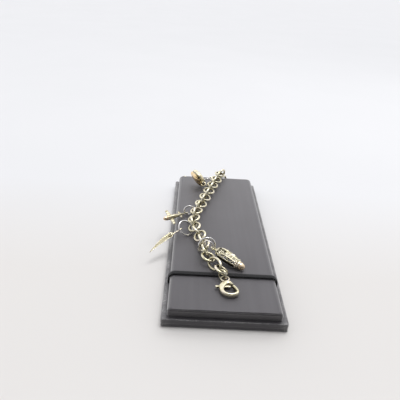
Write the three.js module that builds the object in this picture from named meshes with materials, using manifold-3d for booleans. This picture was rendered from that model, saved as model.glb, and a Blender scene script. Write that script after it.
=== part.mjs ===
// Charm anklet laid along a padded display board.
// Millimetres, +Z up. The origin is the centre of the board's underside; +Y runs along the
// board, away from the clasp, and +X is to the right of someone who faces that way.

import * as THREE from 'three';
import { mergeVertices } from 'three/addons/utils/BufferGeometryUtils.js';
import Module from 'manifold-3d';

const wasm = await Module();
wasm.setup();

// ---------------------------------------------------------------- driving dimensions

const STAND = {
  width: 69, length: 176, baseHeight: 5.1, baseCorner: 1.2,
  padHeight: 6.2, sideLedge: 3.2, endLedge: 1.5, padCorner: 1.5,
  sideRound: 3.0, sideDrop: 3.0, endRound: 0.8,
};
const PAD_TOP = STAND.baseHeight + STAND.padHeight;
const PAD_HALF_WIDTH = STAND.width / 2 - STAND.sideLedge;
const PAD_HALF_LENGTH = STAND.length / 2 - STAND.endLedge;

const ELASTIC = { y: -55.7, width: 3.2, thickness: 1.0, clearance: 0.3 };

const LINK = { halfLength: 4.35, halfWidth: 3.8, wire: 1.6, pitch: 6.0, count: 30, stagger: 0.5 };
// The chain lies rolled over, by `near` degrees up to its link `from` and by `far` degrees
// past its link `to`, and each link sways a little about that.
const LINK_ROLL = { near: -38, far: 12, from: 4, to: 14, sway: 5 };
const ROUTE = { height: 4.3, startDrop: 0.6, behindBase: 4.4, floorHeight: 4.65 };
const GAP = 0.3;                    // between pieces that touch on the real thing

const LINK_STEPS = 12;
const LINK_SIDES = 6;
const RING_STEPS = 20;

// ---------------------------------------------------------------- materials

const material = (color, roughness, metalness) =>
  new THREE.MeshStandardMaterial({ color, roughness, metalness });
const GOLD = material(0xd9cc98, 0.28, 1);
const SILVER = material(0xd8d6d2, 0.25, 1);
const LEATHERETTE = material(0x6d6b6c, 0.62, 0);
const RUBBER = material(0x1e1e20, 0.8, 0);

// ---------------------------------------------------------------- solids and booleans

const vector = (x, y, z) => new THREE.Vector3(x, y, z);
const degrees = (angle) => THREE.MathUtils.degToRad(angle);

function toSolid(geometry) {
  const bare = geometry.index ? geometry.toNonIndexed() : geometry.clone();
  bare.deleteAttribute('normal');
  bare.deleteAttribute('uv');
  const welded = mergeVertices(bare, 1e-4);
  return new wasm.Manifold(new wasm.Mesh({
    numProp: 3,
    vertProperties: new Float32Array(welded.attributes.position.array),
    triVerts: new Uint32Array(welded.index.array),
  }));
}

function toGeometry(solid) {
  const mesh = solid.getMesh();
  const geometry = new THREE.BufferGeometry();
  const points = new Float32Array(mesh.numProp === 3 ? mesh.vertProperties : []);
  geometry.setAttribute('position', new THREE.BufferAttribute(points, 3));
  geometry.setIndex(new THREE.BufferAttribute(new Uint32Array(mesh.triVerts), 1));
  return geometry;
}

const join = (...geometries) =>
  toGeometry(geometries.map(toSolid).reduce((whole, next) => whole.add(next)));
const cut = (geometry, ...tools) =>
  toGeometry(tools.map(toSolid).reduce((whole, tool) => whole.subtract(tool), toSolid(geometry)));

// A closed skin over rows of points: each row is a ring of the same number of points, and
// the first and last rows are closed by a fan round their middle.
function skin(rows) {
  const size = rows[0].length;
  const middle = (row) => row.reduce((sum, p) => sum.add(p), vector(0, 0, 0)).divideScalar(size);
  const points = [...rows.flat(), middle(rows[0]), middle(rows.at(-1))];
  const first = rows.length * size;
  const index = [];
  for (let k = 0; k < size; k += 1) {
    const next = (k + 1) % size;
    for (let row = 0; row + 1 < rows.length; row += 1) {
      const a = row * size + k;
      const b = row * size + next;
      index.push(a, b, b + size, a, b + size, a + size);
    }
    const top = (rows.length - 1) * size;
    index.push(first, next, k, first + 1, top + k, top + next);
  }
  const geometry = new THREE.BufferGeometry().setFromPoints(points);
  geometry.setIndex(index);
  return geometry;
}

// A round or oval ring in the XY plane, its long way along X.
function ringGeometry({ halfLength, halfWidth, wire }, steps, sides = LINK_SIDES) {
  const geometry = new THREE.TorusGeometry(1, wire / 2, sides, steps);
  const position = geometry.attributes.position;
  const point = vector(0, 0, 0);
  for (let k = 0; k < position.count; k += 1) {
    point.fromBufferAttribute(position, k);
    const angle = Math.atan2(point.y, point.x);
    point.x += (halfLength - 1) * Math.cos(angle);
    point.y += (halfWidth - 1) * Math.sin(angle);
    position.setXYZ(k, point.x, point.y, point.z);
  }
  return geometry;
}

const roundRing = (outer, wire) => {
  const radius = (outer - wire) / 2;
  return { halfLength: radius, halfWidth: radius, wire };
};

// The matrix of a piece whose X axis follows `along` and whose Z axis leans to `normal`.
function placement(at, along, normal) {
  const x = along.clone().normalize();
  const z = normal.clone().addScaledVector(x, -normal.dot(x)).normalize();
  const y = z.clone().cross(x);
  return new THREE.Matrix4().makeBasis(x, y, z).setPosition(at);
}

const part = new THREE.Group();

function add(name, geometry, finish, matrix = new THREE.Matrix4()) {
  const mesh = new THREE.Mesh(geometry, finish);
  mesh.name = name;
  mesh.applyMatrix4(matrix);
  part.add(mesh);
  return mesh;
}

const overPad = (x, y, height) => vector(x, y, PAD_TOP + height);

// ---------------------------------------------------------------- stand

// The outline of a board with round corners, anticlockwise from above.
function boardOutline(halfWidth, halfLength, corner, z, cornerSteps = 4) {
  const points = [];
  const corners = [[1, -1, -90], [1, 1, 0], [-1, 1, 90], [-1, -1, 180]];
  for (const [sideX, sideY, start] of corners) {
    for (let k = 0; k <= cornerSteps; k += 1) {
      const angle = degrees(start + (90 * k) / cornerSteps);
      points.push(vector(
        sideX * (halfWidth - corner) + corner * Math.cos(angle),
        sideY * (halfLength - corner) + corner * Math.sin(angle), z));
    }
  }
  return points;
}

function addStand() {
  const { width, length, baseHeight, baseCorner } = STAND;
  const base = [0, baseHeight].map((z) => boardOutline(width / 2, length / 2, baseCorner, z));
  add('stand_base', skin(base), LEATHERETTE);

  // The long edges of the pad are soft and the two ends nearly square.
  const rows = [boardOutline(PAD_HALF_WIDTH, PAD_HALF_LENGTH, STAND.padCorner, baseHeight)];
  for (const turn of [0, 30, 60, 90].map(degrees)) {
    const inward = 1 - Math.cos(turn);
    const z = PAD_TOP - STAND.sideDrop * (1 - Math.sin(turn));
    rows.push(boardOutline(
      PAD_HALF_WIDTH - STAND.sideRound * inward, PAD_HALF_LENGTH - STAND.endRound * inward,
      STAND.padCorner, z));
  }
  add('stand_pad', skin(rows), LEATHERETTE);
}

// The elastic's centre line, from the ledge on one side over the pad to the other.
function elasticRoute() {
  const lift = ELASTIC.clearance + ELASTIC.thickness / 2;
  const points = [vector(PAD_HALF_WIDTH + lift, ELASTIC.y, STAND.baseHeight + GAP)];
  for (const turn of [0, 22.5, 45, 67.5, 90].map(degrees)) {
    points.push(vector(
      PAD_HALF_WIDTH - STAND.sideRound + (STAND.sideRound + lift) * Math.cos(turn), ELASTIC.y,
      PAD_TOP - STAND.sideDrop + (STAND.sideDrop + lift) * Math.sin(turn)));
  }
  const mirrored = points.map((p) => vector(-p.x, p.y, p.z)).reverse();
  return [...points, ...mirrored];
}

// The band's section, as shares of its half width and half thickness.
const ELASTIC_SECTION = [
  [-1, -0.5], [-0.7, -1], [0.7, -1], [1, -0.5], [1, 0.5], [0.7, 1], [-0.7, 1], [-1, 0.5],
];

function addElastic() {
  const halfWidth = ELASTIC.width / 2;
  const halfThickness = ELASTIC.thickness / 2;
  const route = elasticRoute();
  const rows = route.map((point, k) => {
    const before = route[Math.max(k - 1, 0)];
    const after = route[Math.min(k + 1, route.length - 1)];
    const along = after.clone().sub(before).normalize();
    const outward = vector(0, 1, 0).cross(along).multiplyScalar(-1);
    return ELASTIC_SECTION.map(([across, out]) => point.clone()
      .addScaledVector(vector(0, 1, 0), across * halfWidth)
      .addScaledVector(outward, out * halfThickness));
  });
  add('elastic_band', skin(rows), RUBBER);
}

// ---------------------------------------------------------------- chain

// The centre line of the chain: along the pad in a shallow S, over the far end, down the
// back of the board and along the floor behind it.
function chainRoute() {
  const onPad = [
    [-7.5, -44.9], [-10.1, -39.2], [-11.5, -30], [-14.0, -18.2], [-17.8, -7.5], [-18.2, 4], [-16.5, 16],
    [-12.8, 28.5], [-9.3, 41], [-5.9, 53.5], [-2.2, 66], [1.5, 77.5],
  ].map(([x, y]) => overPad(x, y, ROUTE.height));
  onPad[0].z -= ROUTE.startDrop;
  const farEdge = PAD_HALF_LENGTH;
  const behind = STAND.length / 2 + ROUTE.behindBase;
  const over = [
    overPad(3.6, farEdge - 1.5, ROUTE.height + 0.3), overPad(5.6, farEdge + 4.2, 2.4),
    vector(7.0, behind + 0.1, 9.0), vector(6.0, behind, ROUTE.floorHeight + 1.0),
    vector(1.5, behind, ROUTE.floorHeight), vector(-12, behind, ROUTE.floorHeight),
    vector(-34, behind, ROUTE.floorHeight),
  ];
  return new THREE.CatmullRomCurve3([...onPad, ...over], false, 'centripetal');
}

// The links hook each other at points a pitch apart along the route, in a frame that is
// carried along it without a twist. Every second link faces `up` and those between face
// sideways, all turned by the chain's roll.
function chainLinks() {
  const route = chainRoute();
  route.arcLengthDivisions = 800;
  const length = route.getLength();
  const joints = Array.from({ length: LINK.count + 1 }, (_, k) =>
    route.getPointAt(Math.min((k * LINK.pitch) / length, 1)));
  const links = [];
  const up = vector(0, 0, 1);
  for (let k = 0; k < LINK.count; k += 1) {
    const along = joints[k + 1].clone().sub(joints[k]).normalize();
    up.addScaledVector(along, -up.dot(along)).normalize();
    const flat = k % 2 === 0;
    const side = along.clone().cross(up);
    const turned = THREE.MathUtils.smoothstep(k, LINK_ROLL.from, LINK_ROLL.to);
    const roll = THREE.MathUtils.lerp(LINK_ROLL.near, LINK_ROLL.far, turned);
    const lean = roll + LINK_ROLL.sway * Math.sin(2.3 * k);
    const lift = LINK.stagger * Math.cos(2 * degrees(roll));
    const normal = (flat ? up : side).clone().applyAxisAngle(along, degrees(lean));
    const centre = joints[k].clone().add(joints[k + 1]).multiplyScalar(0.5)
      .addScaledVector(up, flat ? -lift : lift);
    links.push({ centre, along, normal });
  }
  return links;
}

function addChain(links) {
  const geometry = ringGeometry(LINK, LINK_STEPS);
  links.slice(1).forEach(({ centre, along, normal }, k) => {
    const name = `chain_link_${String(k + 2).padStart(2, '0')}`;
    add(name, geometry, GOLD, placement(centre, along, normal));
  });
}

// ---------------------------------------------------------------- connectors and rings

const CLASP_RING = roundRing(6.85, 1.0);
const OVAL_LINK = { halfLength: 5.3, halfWidth: 3.2, wire: 1.6 };
const END_RING = roundRing(7.6, 1.4);

// The slack end of the chain by the clasp: where each piece lies, its length's direction and
// the way its flat side faces.
const SLACK_END = [
  { name: 'clasp_ring', ring: CLASP_RING, at: overPad(-0.8, -59.5, 3.52), along: vector(0.66, -0.74, 0.1),
    facing: vector(0.75, 0.64, -0.17) },
  { name: 'clasp_link', ring: LINK, at: overPad(-1.49, -55.39, 4.03), along: vector(-0.06, -0.97, 0.22),
    facing: vector(0.42, 0.18, 0.89) },
  { name: 'oval_link', ring: OVAL_LINK, at: overPad(-5.09, -49.02, 3.65), along: vector(0.57, -0.82, 0.08),
    facing: vector(-0.70, -0.43, 0.57) },
  { name: 'chain_link_01', ring: LINK, at: overPad(-8.65, -42.48, 3.92), along: vector(-0.58, 0.8, 0.12),
    facing: vector(0.19, -0.01, 0.98) },
];

function addSlackEnd() {
  for (const { name, ring, at, along, facing } of SLACK_END) {
    add(name, ringGeometry(ring, LINK_STEPS), GOLD, placement(at, along, facing));
  }
}

// The silver jump rings: outer diameter, wire, middle and the way each one faces. An angle
// round a ring is counted from its right, seen from the front.
const JUMP_RINGS = {
  ring_filigree: {
    outer: 11.4, wire: 1.0, at: overPad(-9.85, -35.98, 8.1), facing: vector(0.17, -0.98, 0.05),
  },
  ring_small: {
    outer: 6.7, wire: 0.8, at: overPad(-8.8, -31.62, 5.8), facing: vector(-0.36, -0.93, -0.1),
  },
  ring_leaf: {
    outer: 11.2, wire: 0.9, at: overPad(-23.6, -9.25, 4.1), facing: vector(0.44, -0.5, 0.74),
  },
  ring_plane: {
    outer: 8.4, wire: 1.0, at: overPad(-21.7, 15.6, 4.4), facing: vector(0.1, -0.99, -0.12),
  },
  ring_locket: {
    outer: 8.4, wire: 1.0, at: overPad(-7.7, 61.7, 6.3), facing: vector(0.3, -0.95, -0.07),
  },
};

function ringMatrix({ at, facing }) {
  const normal = facing.clone().normalize();
  return placement(at, vector(1, 0, 0).addScaledVector(normal, -normal.x), normal);
}

function addJumpRings() {
  for (const [name, ring] of Object.entries(JUMP_RINGS)) {
    add(name, ringGeometry(roundRing(ring.outer, ring.wire), RING_STEPS), SILVER, ringMatrix(ring));
  }
}

function addEndRing() {
  const last = links.at(-1);
  const reach = LINK.halfLength - LINK.wire / 2 - GAP + END_RING.halfLength - END_RING.wire / 2;
  const centre = last.centre.clone().addScaledVector(last.along, reach);
  const facing = last.normal.clone().cross(last.along);
  add('end_ring', ringGeometry(END_RING, RING_STEPS), GOLD, placement(centre, last.along, facing));
}

// ---------------------------------------------------------------- clasp

// The clasp's own frame has its tail eye at the origin, X towards the hook's bend, Y towards
// the mouth side and Z up; it lies flat on the pad.
const CLASP = {
  eye: overPad(0.7, -61.1, GAP), heading: vector(0.264, -0.9645, 0),
  thickness: 2.7, edge: 0.9, eyeOuter: 5.6, eyeWire: 1.1, eyeHeight: 1.6,
  pivot: new THREE.Vector2(5.6, -3.2), pinRadius: 0.5, hubRadius: 1.4, hubHole: 0.8,
  slotHeight: 1.5, leverThickness: 0.9, armWidth: 1.4,
};

function claspMatrix() {
  return placement(CLASP.eye, CLASP.heading, vector(0, 0, 1));
}

const closedCurve = (points, steps) =>
  new THREE.SplineCurve([...points, points[0]].map(([x, y]) => new THREE.Vector2(x, y)))
    .getPoints(steps).slice(0, -1);

function box(x0, x1, y0, y1, z0, z1) {
  return new THREE.BoxGeometry(x1 - x0, y1 - y0, z1 - z0)
    .translate((x0 + x1) / 2, (y0 + y1) / 2, (z0 + z1) / 2);
}

function claspBodyGeometry() {
  const { thickness, edge, pivot, pinRadius, slotHeight } = CLASP;
  const outer = [
    [1.6, -1.2], [3.2, -3.9], [6.0, -5.6], [9.2, -6.1], [12.3, -5.3], [14.5, -3.1],
    [15.3, -0.4], [15.0, 2.0], [13.4, 3.8], [11.0, 4.2], [8.0, 3.6], [5.2, 2.8], [3.0, 2.1],
    [1.7, 0.9],
  ];
  const inner = [
    [5.2, 0.4], [6.1, 1.4], [8.3, 2.1], [10.8, 2.65], [12.7, 2.4], [13.5, 0.5],
    [13.1, -1.9], [11.5, -3.6], [9.1, -3.6], [7.1, -2.4], [5.7, -1.0],
  ];
  const outline = new THREE.Shape(closedCurve(outer, 30));
  outline.holes.push(new THREE.Path(closedCurve(inner, 20)));
  const body = new THREE.ExtrudeGeometry(outline, {
    depth: thickness - 2 * edge, bevelThickness: edge, bevelSize: edge * 0.8,
    bevelOffset: -edge * 0.8, bevelSegments: 2, steps: 1,
  }).translate(0, 0, edge);
  const middle = thickness / 2;
  const mouth = box(6.2, 7.4, 1.0, 6, -1, thickness + 1);
  const slot = box(3.4, 8.2, -7, 0.6, middle - slotHeight / 2, middle + slotHeight / 2);
  const pin = new THREE.CylinderGeometry(pinRadius, pinRadius, thickness - edge, 10)
    .rotateX(Math.PI / 2).translate(pivot.x, pivot.y, middle);
  const eye = ringGeometry(roundRing(CLASP.eyeOuter, CLASP.eyeWire), 16)
    .translate(0, 0, CLASP.eyeHeight);
  return join(cut(body, mouth, slot), pin, eye);
}

function claspLeverGeometry() {
  const { pivot, hubRadius, hubHole, leverThickness, armWidth, thickness } = CLASP;
  const thumb = new THREE.Vector2(5.5, -6.9);
  const gate = new THREE.Vector2(6.75, 0.45);
  const arm = (end) => {
    const way = end.clone().sub(pivot);
    const length = way.length();
    const bar = new THREE.Shape();
    bar.moveTo(0, -armWidth / 2);
    bar.lineTo(length, -armWidth / 2);
    bar.absarc(length, 0, armWidth / 2, -Math.PI / 2, Math.PI / 2, false);
    bar.lineTo(0, armWidth / 2);
    return new THREE.ExtrudeGeometry(bar, {
      depth: leverThickness, bevelEnabled: false, curveSegments: 6,
    }).rotateZ(way.angle()).translate(pivot.x, pivot.y, 0);
  };
  const disc = (radius, height, z, sides) =>
    new THREE.CylinderGeometry(radius, radius, height, sides)
      .rotateX(Math.PI / 2).translate(pivot.x, pivot.y, z);
  const hub = disc(hubRadius, leverThickness, leverThickness / 2, 16);
  const hole = disc(hubHole, leverThickness * 3, leverThickness / 2, 12);
  return cut(join(hub, arm(thumb), arm(gate)), hole)
    .translate(0, 0, (thickness - leverThickness) / 2);
}

function addClasp() {
  add('clasp_body', claspBodyGeometry(), GOLD, claspMatrix());
  add('clasp_lever', claspLeverGeometry(), GOLD, claspMatrix());
}

// ---------------------------------------------------------------- charms

// A closed body lofted along X through elliptical sections: x, y, z of the middle, half the
// width across Y and half the height across Z.
function loft(rows, sides, shape = (angle) => [Math.cos(angle), Math.sin(angle)]) {
  return skin(rows.map(([x, y, z, halfWidth, halfHeight]) =>
    Array.from({ length: sides }, (_, k) => {
      const [across, up] = shape((2 * Math.PI * k) / sides);
      return vector(x, y + across * halfWidth, z + up * halfHeight);
    })));
}

// The eye at a charm's head, turned about the charm's length.
const eyelet = (outer, wire, turn) =>
  ringGeometry(roundRing(outer, wire), LINK_STEPS).rotateX(turn);

// A hollow slipper-shaped drop: a smooth rim along its top, pierced walls and a round toe.
function filigreeGeometry(eyeTurn) {
  const sections = [
    [1.9, 0, 0.0, 0.9, 0.9], [3.0, 0, 0.0, 2.4, 2.2], [6.0, 0, 0.0, 3.7, 3.2],
    [10.5, 0, -0.1, 4.0, 3.3], [15, 0, -0.5, 3.6, 3.0], [18.4, 0, -0.8, 2.9, 2.5],
    [20.8, 0, -0.9, 2.5, 2.2], [22.8, 0, -1.0, 1.8, 1.6], [23.7, 0, -1.0, 0.7, 0.7],
  ];
  const wall = 0.9;
  const hollow = sections.slice(1, 6).map(([x, y, z, halfWidth, halfHeight]) =>
    [x + 0.4, y, z, halfWidth - wall, halfHeight - wall]);
  const prism = (radius, length) => new THREE.CylinderGeometry(radius, radius, length, 6);
  const windows = [
    [7.0, -0.9, 0.95], [9.8, -0.9, 1.1], [12.6, -1.0, 1.05], [15.2, -1.2, 0.85], [17.4, -1.3, 0.6],
    [8.4, 1.3, 0.95], [11.2, 1.25, 0.95], [14.0, 0.95, 0.9],
  ].map(([x, z, radius]) => prism(radius, 12).translate(x, 0, z));
  const arch = prism(1.5, 4).rotateX(Math.PI / 2).scale(1.3, 1, 1).translate(5.4, 0, 3);
  const soles = [8.5, 12, 15.5].map((x) =>
    prism(1.0, 4).rotateX(Math.PI / 2).translate(x, 0, -3.4));
  const drop = cut(loft(sections, 14), loft(hollow, 10), arch, ...windows, ...soles);
  return join(drop, eyelet(4.4, 1.0, eyeTurn));
}

// A long slender leaf, folded along its midrib, with a curl at its shoulder.
function leafGeometry(eyeTurn) {
  const length = 26.5;
  const bow = (x) => -1.3 * Math.sin((Math.PI * x) / length);
  const rows = [
    [1.4, 0.45, 0.45], [4.2, 0.5, 0.5], [6.0, 0.9, 0.7], [9.0, 1.4, 0.9], [13, 1.35, 0.9],
    [18, 1.05, 0.75], [23, 0.65, 0.5], [length, 0.25, 0.25],
  ].map(([x, halfWidth, halfHeight]) => [x, bow(x), 0, halfWidth, halfHeight]);
  const folded = (angle) => {
    const dip = Math.max(0, Math.sin(angle)) ** 8;
    return [Math.cos(angle), Math.sin(angle) * (1 - 0.6 * dip)];
  };
  const curl = ringGeometry(roundRing(4.4, 0.9), 10).rotateX(Math.PI / 2)
    .translate(7.0, bow(7) - 0.6, 0.6);
  return join(loft(rows, 8, folded), curl, eyelet(3.8, 0.8, eyeTurn));
}

// A small winged charm: a round body, cross wings and a tail.
function planeGeometry(eyeTurn) {
  const body = loft([
    [1.6, 0, 0, 0.5, 0.5], [4, 0, 0, 0.9, 0.9], [9, 0, 0, 1.3, 1.3], [15, 0, 0, 1.7, 1.7],
    [18.5, 0, 0, 1.6, 1.6], [20.5, 0, 0, 1.1, 1.1], [21.5, 0, 0, 0.4, 0.4],
  ], 10);
  const blade = (x, halfSpan, rootChord, tipChord, thickness) => {
    const outline = new THREE.Shape();
    outline.moveTo(x - rootChord / 2, 0);
    outline.lineTo(x - tipChord / 2, halfSpan);
    outline.lineTo(x + tipChord / 2, halfSpan);
    outline.lineTo(x + rootChord / 2, 0);
    outline.lineTo(x + tipChord / 2, -halfSpan);
    outline.lineTo(x - tipChord / 2, -halfSpan);
    return new THREE.ExtrudeGeometry(outline, { depth: thickness, bevelEnabled: false })
      .translate(0, 0, -thickness / 2);
  };
  const wings = blade(14.5, 6.2, 3.8, 2.2, 1.0);
  const tail = blade(5.0, 2.6, 2.2, 1.4, 0.8);
  return join(body, wings, tail, eyelet(4.1, 0.8, eyeTurn));
}

// A puffed heart of two halves with a seam round its edge; the lobes face the eye.
function locketGeometry(eyeTurn) {
  const width = 17.2;
  const steps = 22;
  const heart = (scale, z) => Array.from({ length: steps }, (_, k) => {
    const t = (2 * Math.PI * (k + 0.5)) / steps;
    const x = 16 * Math.sin(t) ** 3;
    const y = 13 * Math.cos(t) - 5 * Math.cos(2 * t) - 2 * Math.cos(3 * t) - Math.cos(4 * t);
    const size = (width / 34) * scale;
    return vector(8.5 - size * (y + 2), -size * x, z);
  });
  const body = skin([
    [0.35, -3.8], [0.72, -3.2], [0.93, -1.9], [1, -0.5], [0.9, -0.4],
    [0.9, 0.4], [1, 0.5], [0.93, 1.9], [0.72, 3.2], [0.35, 3.8],
  ].map(([scale, z]) => heart(scale, z)));
  const neck = new THREE.CylinderGeometry(0.7, 0.7, 3.6, 10).rotateZ(Math.PI / 2).translate(3.5, 0, 0);
  return join(body, neck, eyelet(4.2, 1.0, eyeTurn));
}

// A charm's eye sits round the wire of its jump ring, at an angle round that ring; the charm
// runs from there towards its tip, and its eye is turned to face along the wire.
function addCharms() {
  const hang = (name, build, ringName, angle, tip, up) => {
    const ring = JUMP_RINGS[ringName];
    const radius = (ring.outer - ring.wire) / 2;
    const round = degrees(angle);
    const matrix = ringMatrix(ring);
    const eye = vector(radius * Math.cos(round), radius * Math.sin(round), 0).applyMatrix4(matrix);
    const place = placement(eye, tip.clone().sub(eye), vector(...up));
    const wire = vector(-Math.sin(round), Math.cos(round), 0)
      .transformDirection(matrix).transformDirection(place.clone().invert());
    add(name, build(Math.atan2(-wire.y, wire.z)), GOLD, place);
  };
  hang('charm_filigree', filigreeGeometry, 'ring_filigree', -28, overPad(13.3, -50.9, 2.95), [-0.1, -0.2, 1]);
  hang('charm_leaf', leafGeometry, 'ring_leaf', 212, overPad(-45, -29, -3), [-0.2, -0.3, 1]);
  hang('charm_plane', planeGeometry, 'ring_plane', 225, overPad(-39.7, 0.3, 4.4), [0.35, -0.5, 1]);
  hang('charm_locket', locketGeometry, 'ring_locket', 200, overPad(-21.5, 73.5, 12.5), [0.55, 0.5, 0.67]);
}

const links = chainLinks();
addStand();
addElastic();
addClasp();
addSlackEnd();
addChain(links);
addEndRing();
addJumpRings();
addCharms();

export default part;
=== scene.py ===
"""Looks of a charm anklet that lies along a padded display board.

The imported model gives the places. Every piece here is a smooth surface worked out with numpy in
millimetres, in the piece's own frame, then set down in the model's frame in metres.
"""

from __future__ import annotations

import logging
import math
from collections.abc import Iterable, Sequence
from dataclasses import dataclass, replace
from enum import Enum

import bpy
import numpy as np
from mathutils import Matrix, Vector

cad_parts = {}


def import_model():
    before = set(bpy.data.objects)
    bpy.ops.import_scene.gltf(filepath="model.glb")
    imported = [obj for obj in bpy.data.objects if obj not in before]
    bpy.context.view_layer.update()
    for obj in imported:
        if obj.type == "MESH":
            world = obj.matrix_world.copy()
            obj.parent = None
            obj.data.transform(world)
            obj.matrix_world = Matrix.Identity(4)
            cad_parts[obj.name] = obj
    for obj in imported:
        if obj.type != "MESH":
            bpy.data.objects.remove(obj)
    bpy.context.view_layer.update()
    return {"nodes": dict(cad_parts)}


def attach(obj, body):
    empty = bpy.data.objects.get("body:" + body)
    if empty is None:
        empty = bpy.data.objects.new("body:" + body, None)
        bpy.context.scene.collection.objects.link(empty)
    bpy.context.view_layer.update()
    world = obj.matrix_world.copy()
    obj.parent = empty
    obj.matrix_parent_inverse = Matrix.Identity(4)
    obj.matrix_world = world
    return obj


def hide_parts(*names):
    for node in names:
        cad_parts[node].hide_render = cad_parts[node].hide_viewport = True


LOG = logging.getLogger("anklet")
MM = 0.001
Colour = tuple[float, float, float]
Array = np.ndarray


class Body(Enum):
    """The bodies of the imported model."""

    STAND = "anklet_on_stand"
    LEVER = "clasp_lever_body"


class Slot(Enum):
    """The record's material slots."""

    LEATHERETTE = "leatherette"
    ELASTIC = "elastic"
    GOLD = "pale_gold"
    SILVER = "silver"


# ---------------------------------------------------------------- shapes


def unit(vectors: Array) -> Array:
    """Vectors at length one, each divided by its own length."""
    return vectors / np.linalg.norm(vectors, axis=-1, keepdims=True)


def signed_power(values: Array, power: float) -> Array:
    """The size of each value raised to a power, with its sign kept."""
    return np.sign(values) * np.abs(values) ** power


def around(count: int) -> Array:
    """Angles all the way round, in equal steps from zero."""
    return np.linspace(0.0, 2 * np.pi, count, endpoint=False)


def bell(values: Array, middle: float, width: float) -> Array:
    """A smooth hump: e to the minus square of the distance from the middle in widths."""
    return np.exp(-(((values - middle) / width) ** 2))


def through(points: Sequence[Sequence[float]], count: int) -> Array:
    """A smooth curve through a list of points.

    Between two points it is the Catmull-Rom cubic: it passes both of them, and its slope at each
    is half the step from the point before to the point after.

    Args:
        points: Rows of numbers, one row a point. Each column is smoothed alike.
        count: How many points to return.

    Returns:
        An array of count rows.
    """
    p = np.asarray(points, float)
    spans = len(p) - 1
    t = np.linspace(0.0, spans, count)
    k = np.minimum(t.astype(int), spans - 1)
    f = (t - k)[:, None]
    q = np.vstack([2 * p[:1] - p[1:2], p, 2 * p[-1:] - p[-2:-1]])
    p0, p1, p2, p3 = q[k], q[k + 1], q[k + 2], q[k + 3]
    return 0.5 * (
        2 * p1 + (p2 - p0) * f + (2 * p0 - 5 * p1 + 4 * p2 - p3) * f**2
        + (3 * p1 - 3 * p2 + p3 - p0) * f**3
    )


@dataclass(frozen=True)
class Place:
    """A piece's frame in the model: its origin in millimetres and its X, Y and Z as rows."""

    origin: Array
    axes: Array

    @classmethod
    def along(cls, origin: Array, along: Array, normal: Array) -> Place:
        """A frame whose X follows one vector and whose Z leans to another.

        Args:
            origin: The frame's middle.
            along: The way X runs.
            normal: The way Z leans, before it is squared to X.

        Returns:
            The right-handed frame.
        """
        x = unit(np.asarray(along, float))
        z = np.asarray(normal, float)
        z = unit(z - (z @ x) * x)
        return cls(np.asarray(origin, float), np.array([x, np.cross(z, x), z]))

    def put(self, points: Array) -> Array:
        """Points of the piece's own frame in the model's frame."""
        return points @ self.axes + self.origin

    def inside(self, vector: Array) -> Array:
        """A direction of the model's frame in the piece's own frame."""
        return self.axes @ vector


HERE = Place(np.zeros(3), np.eye(3))


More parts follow.
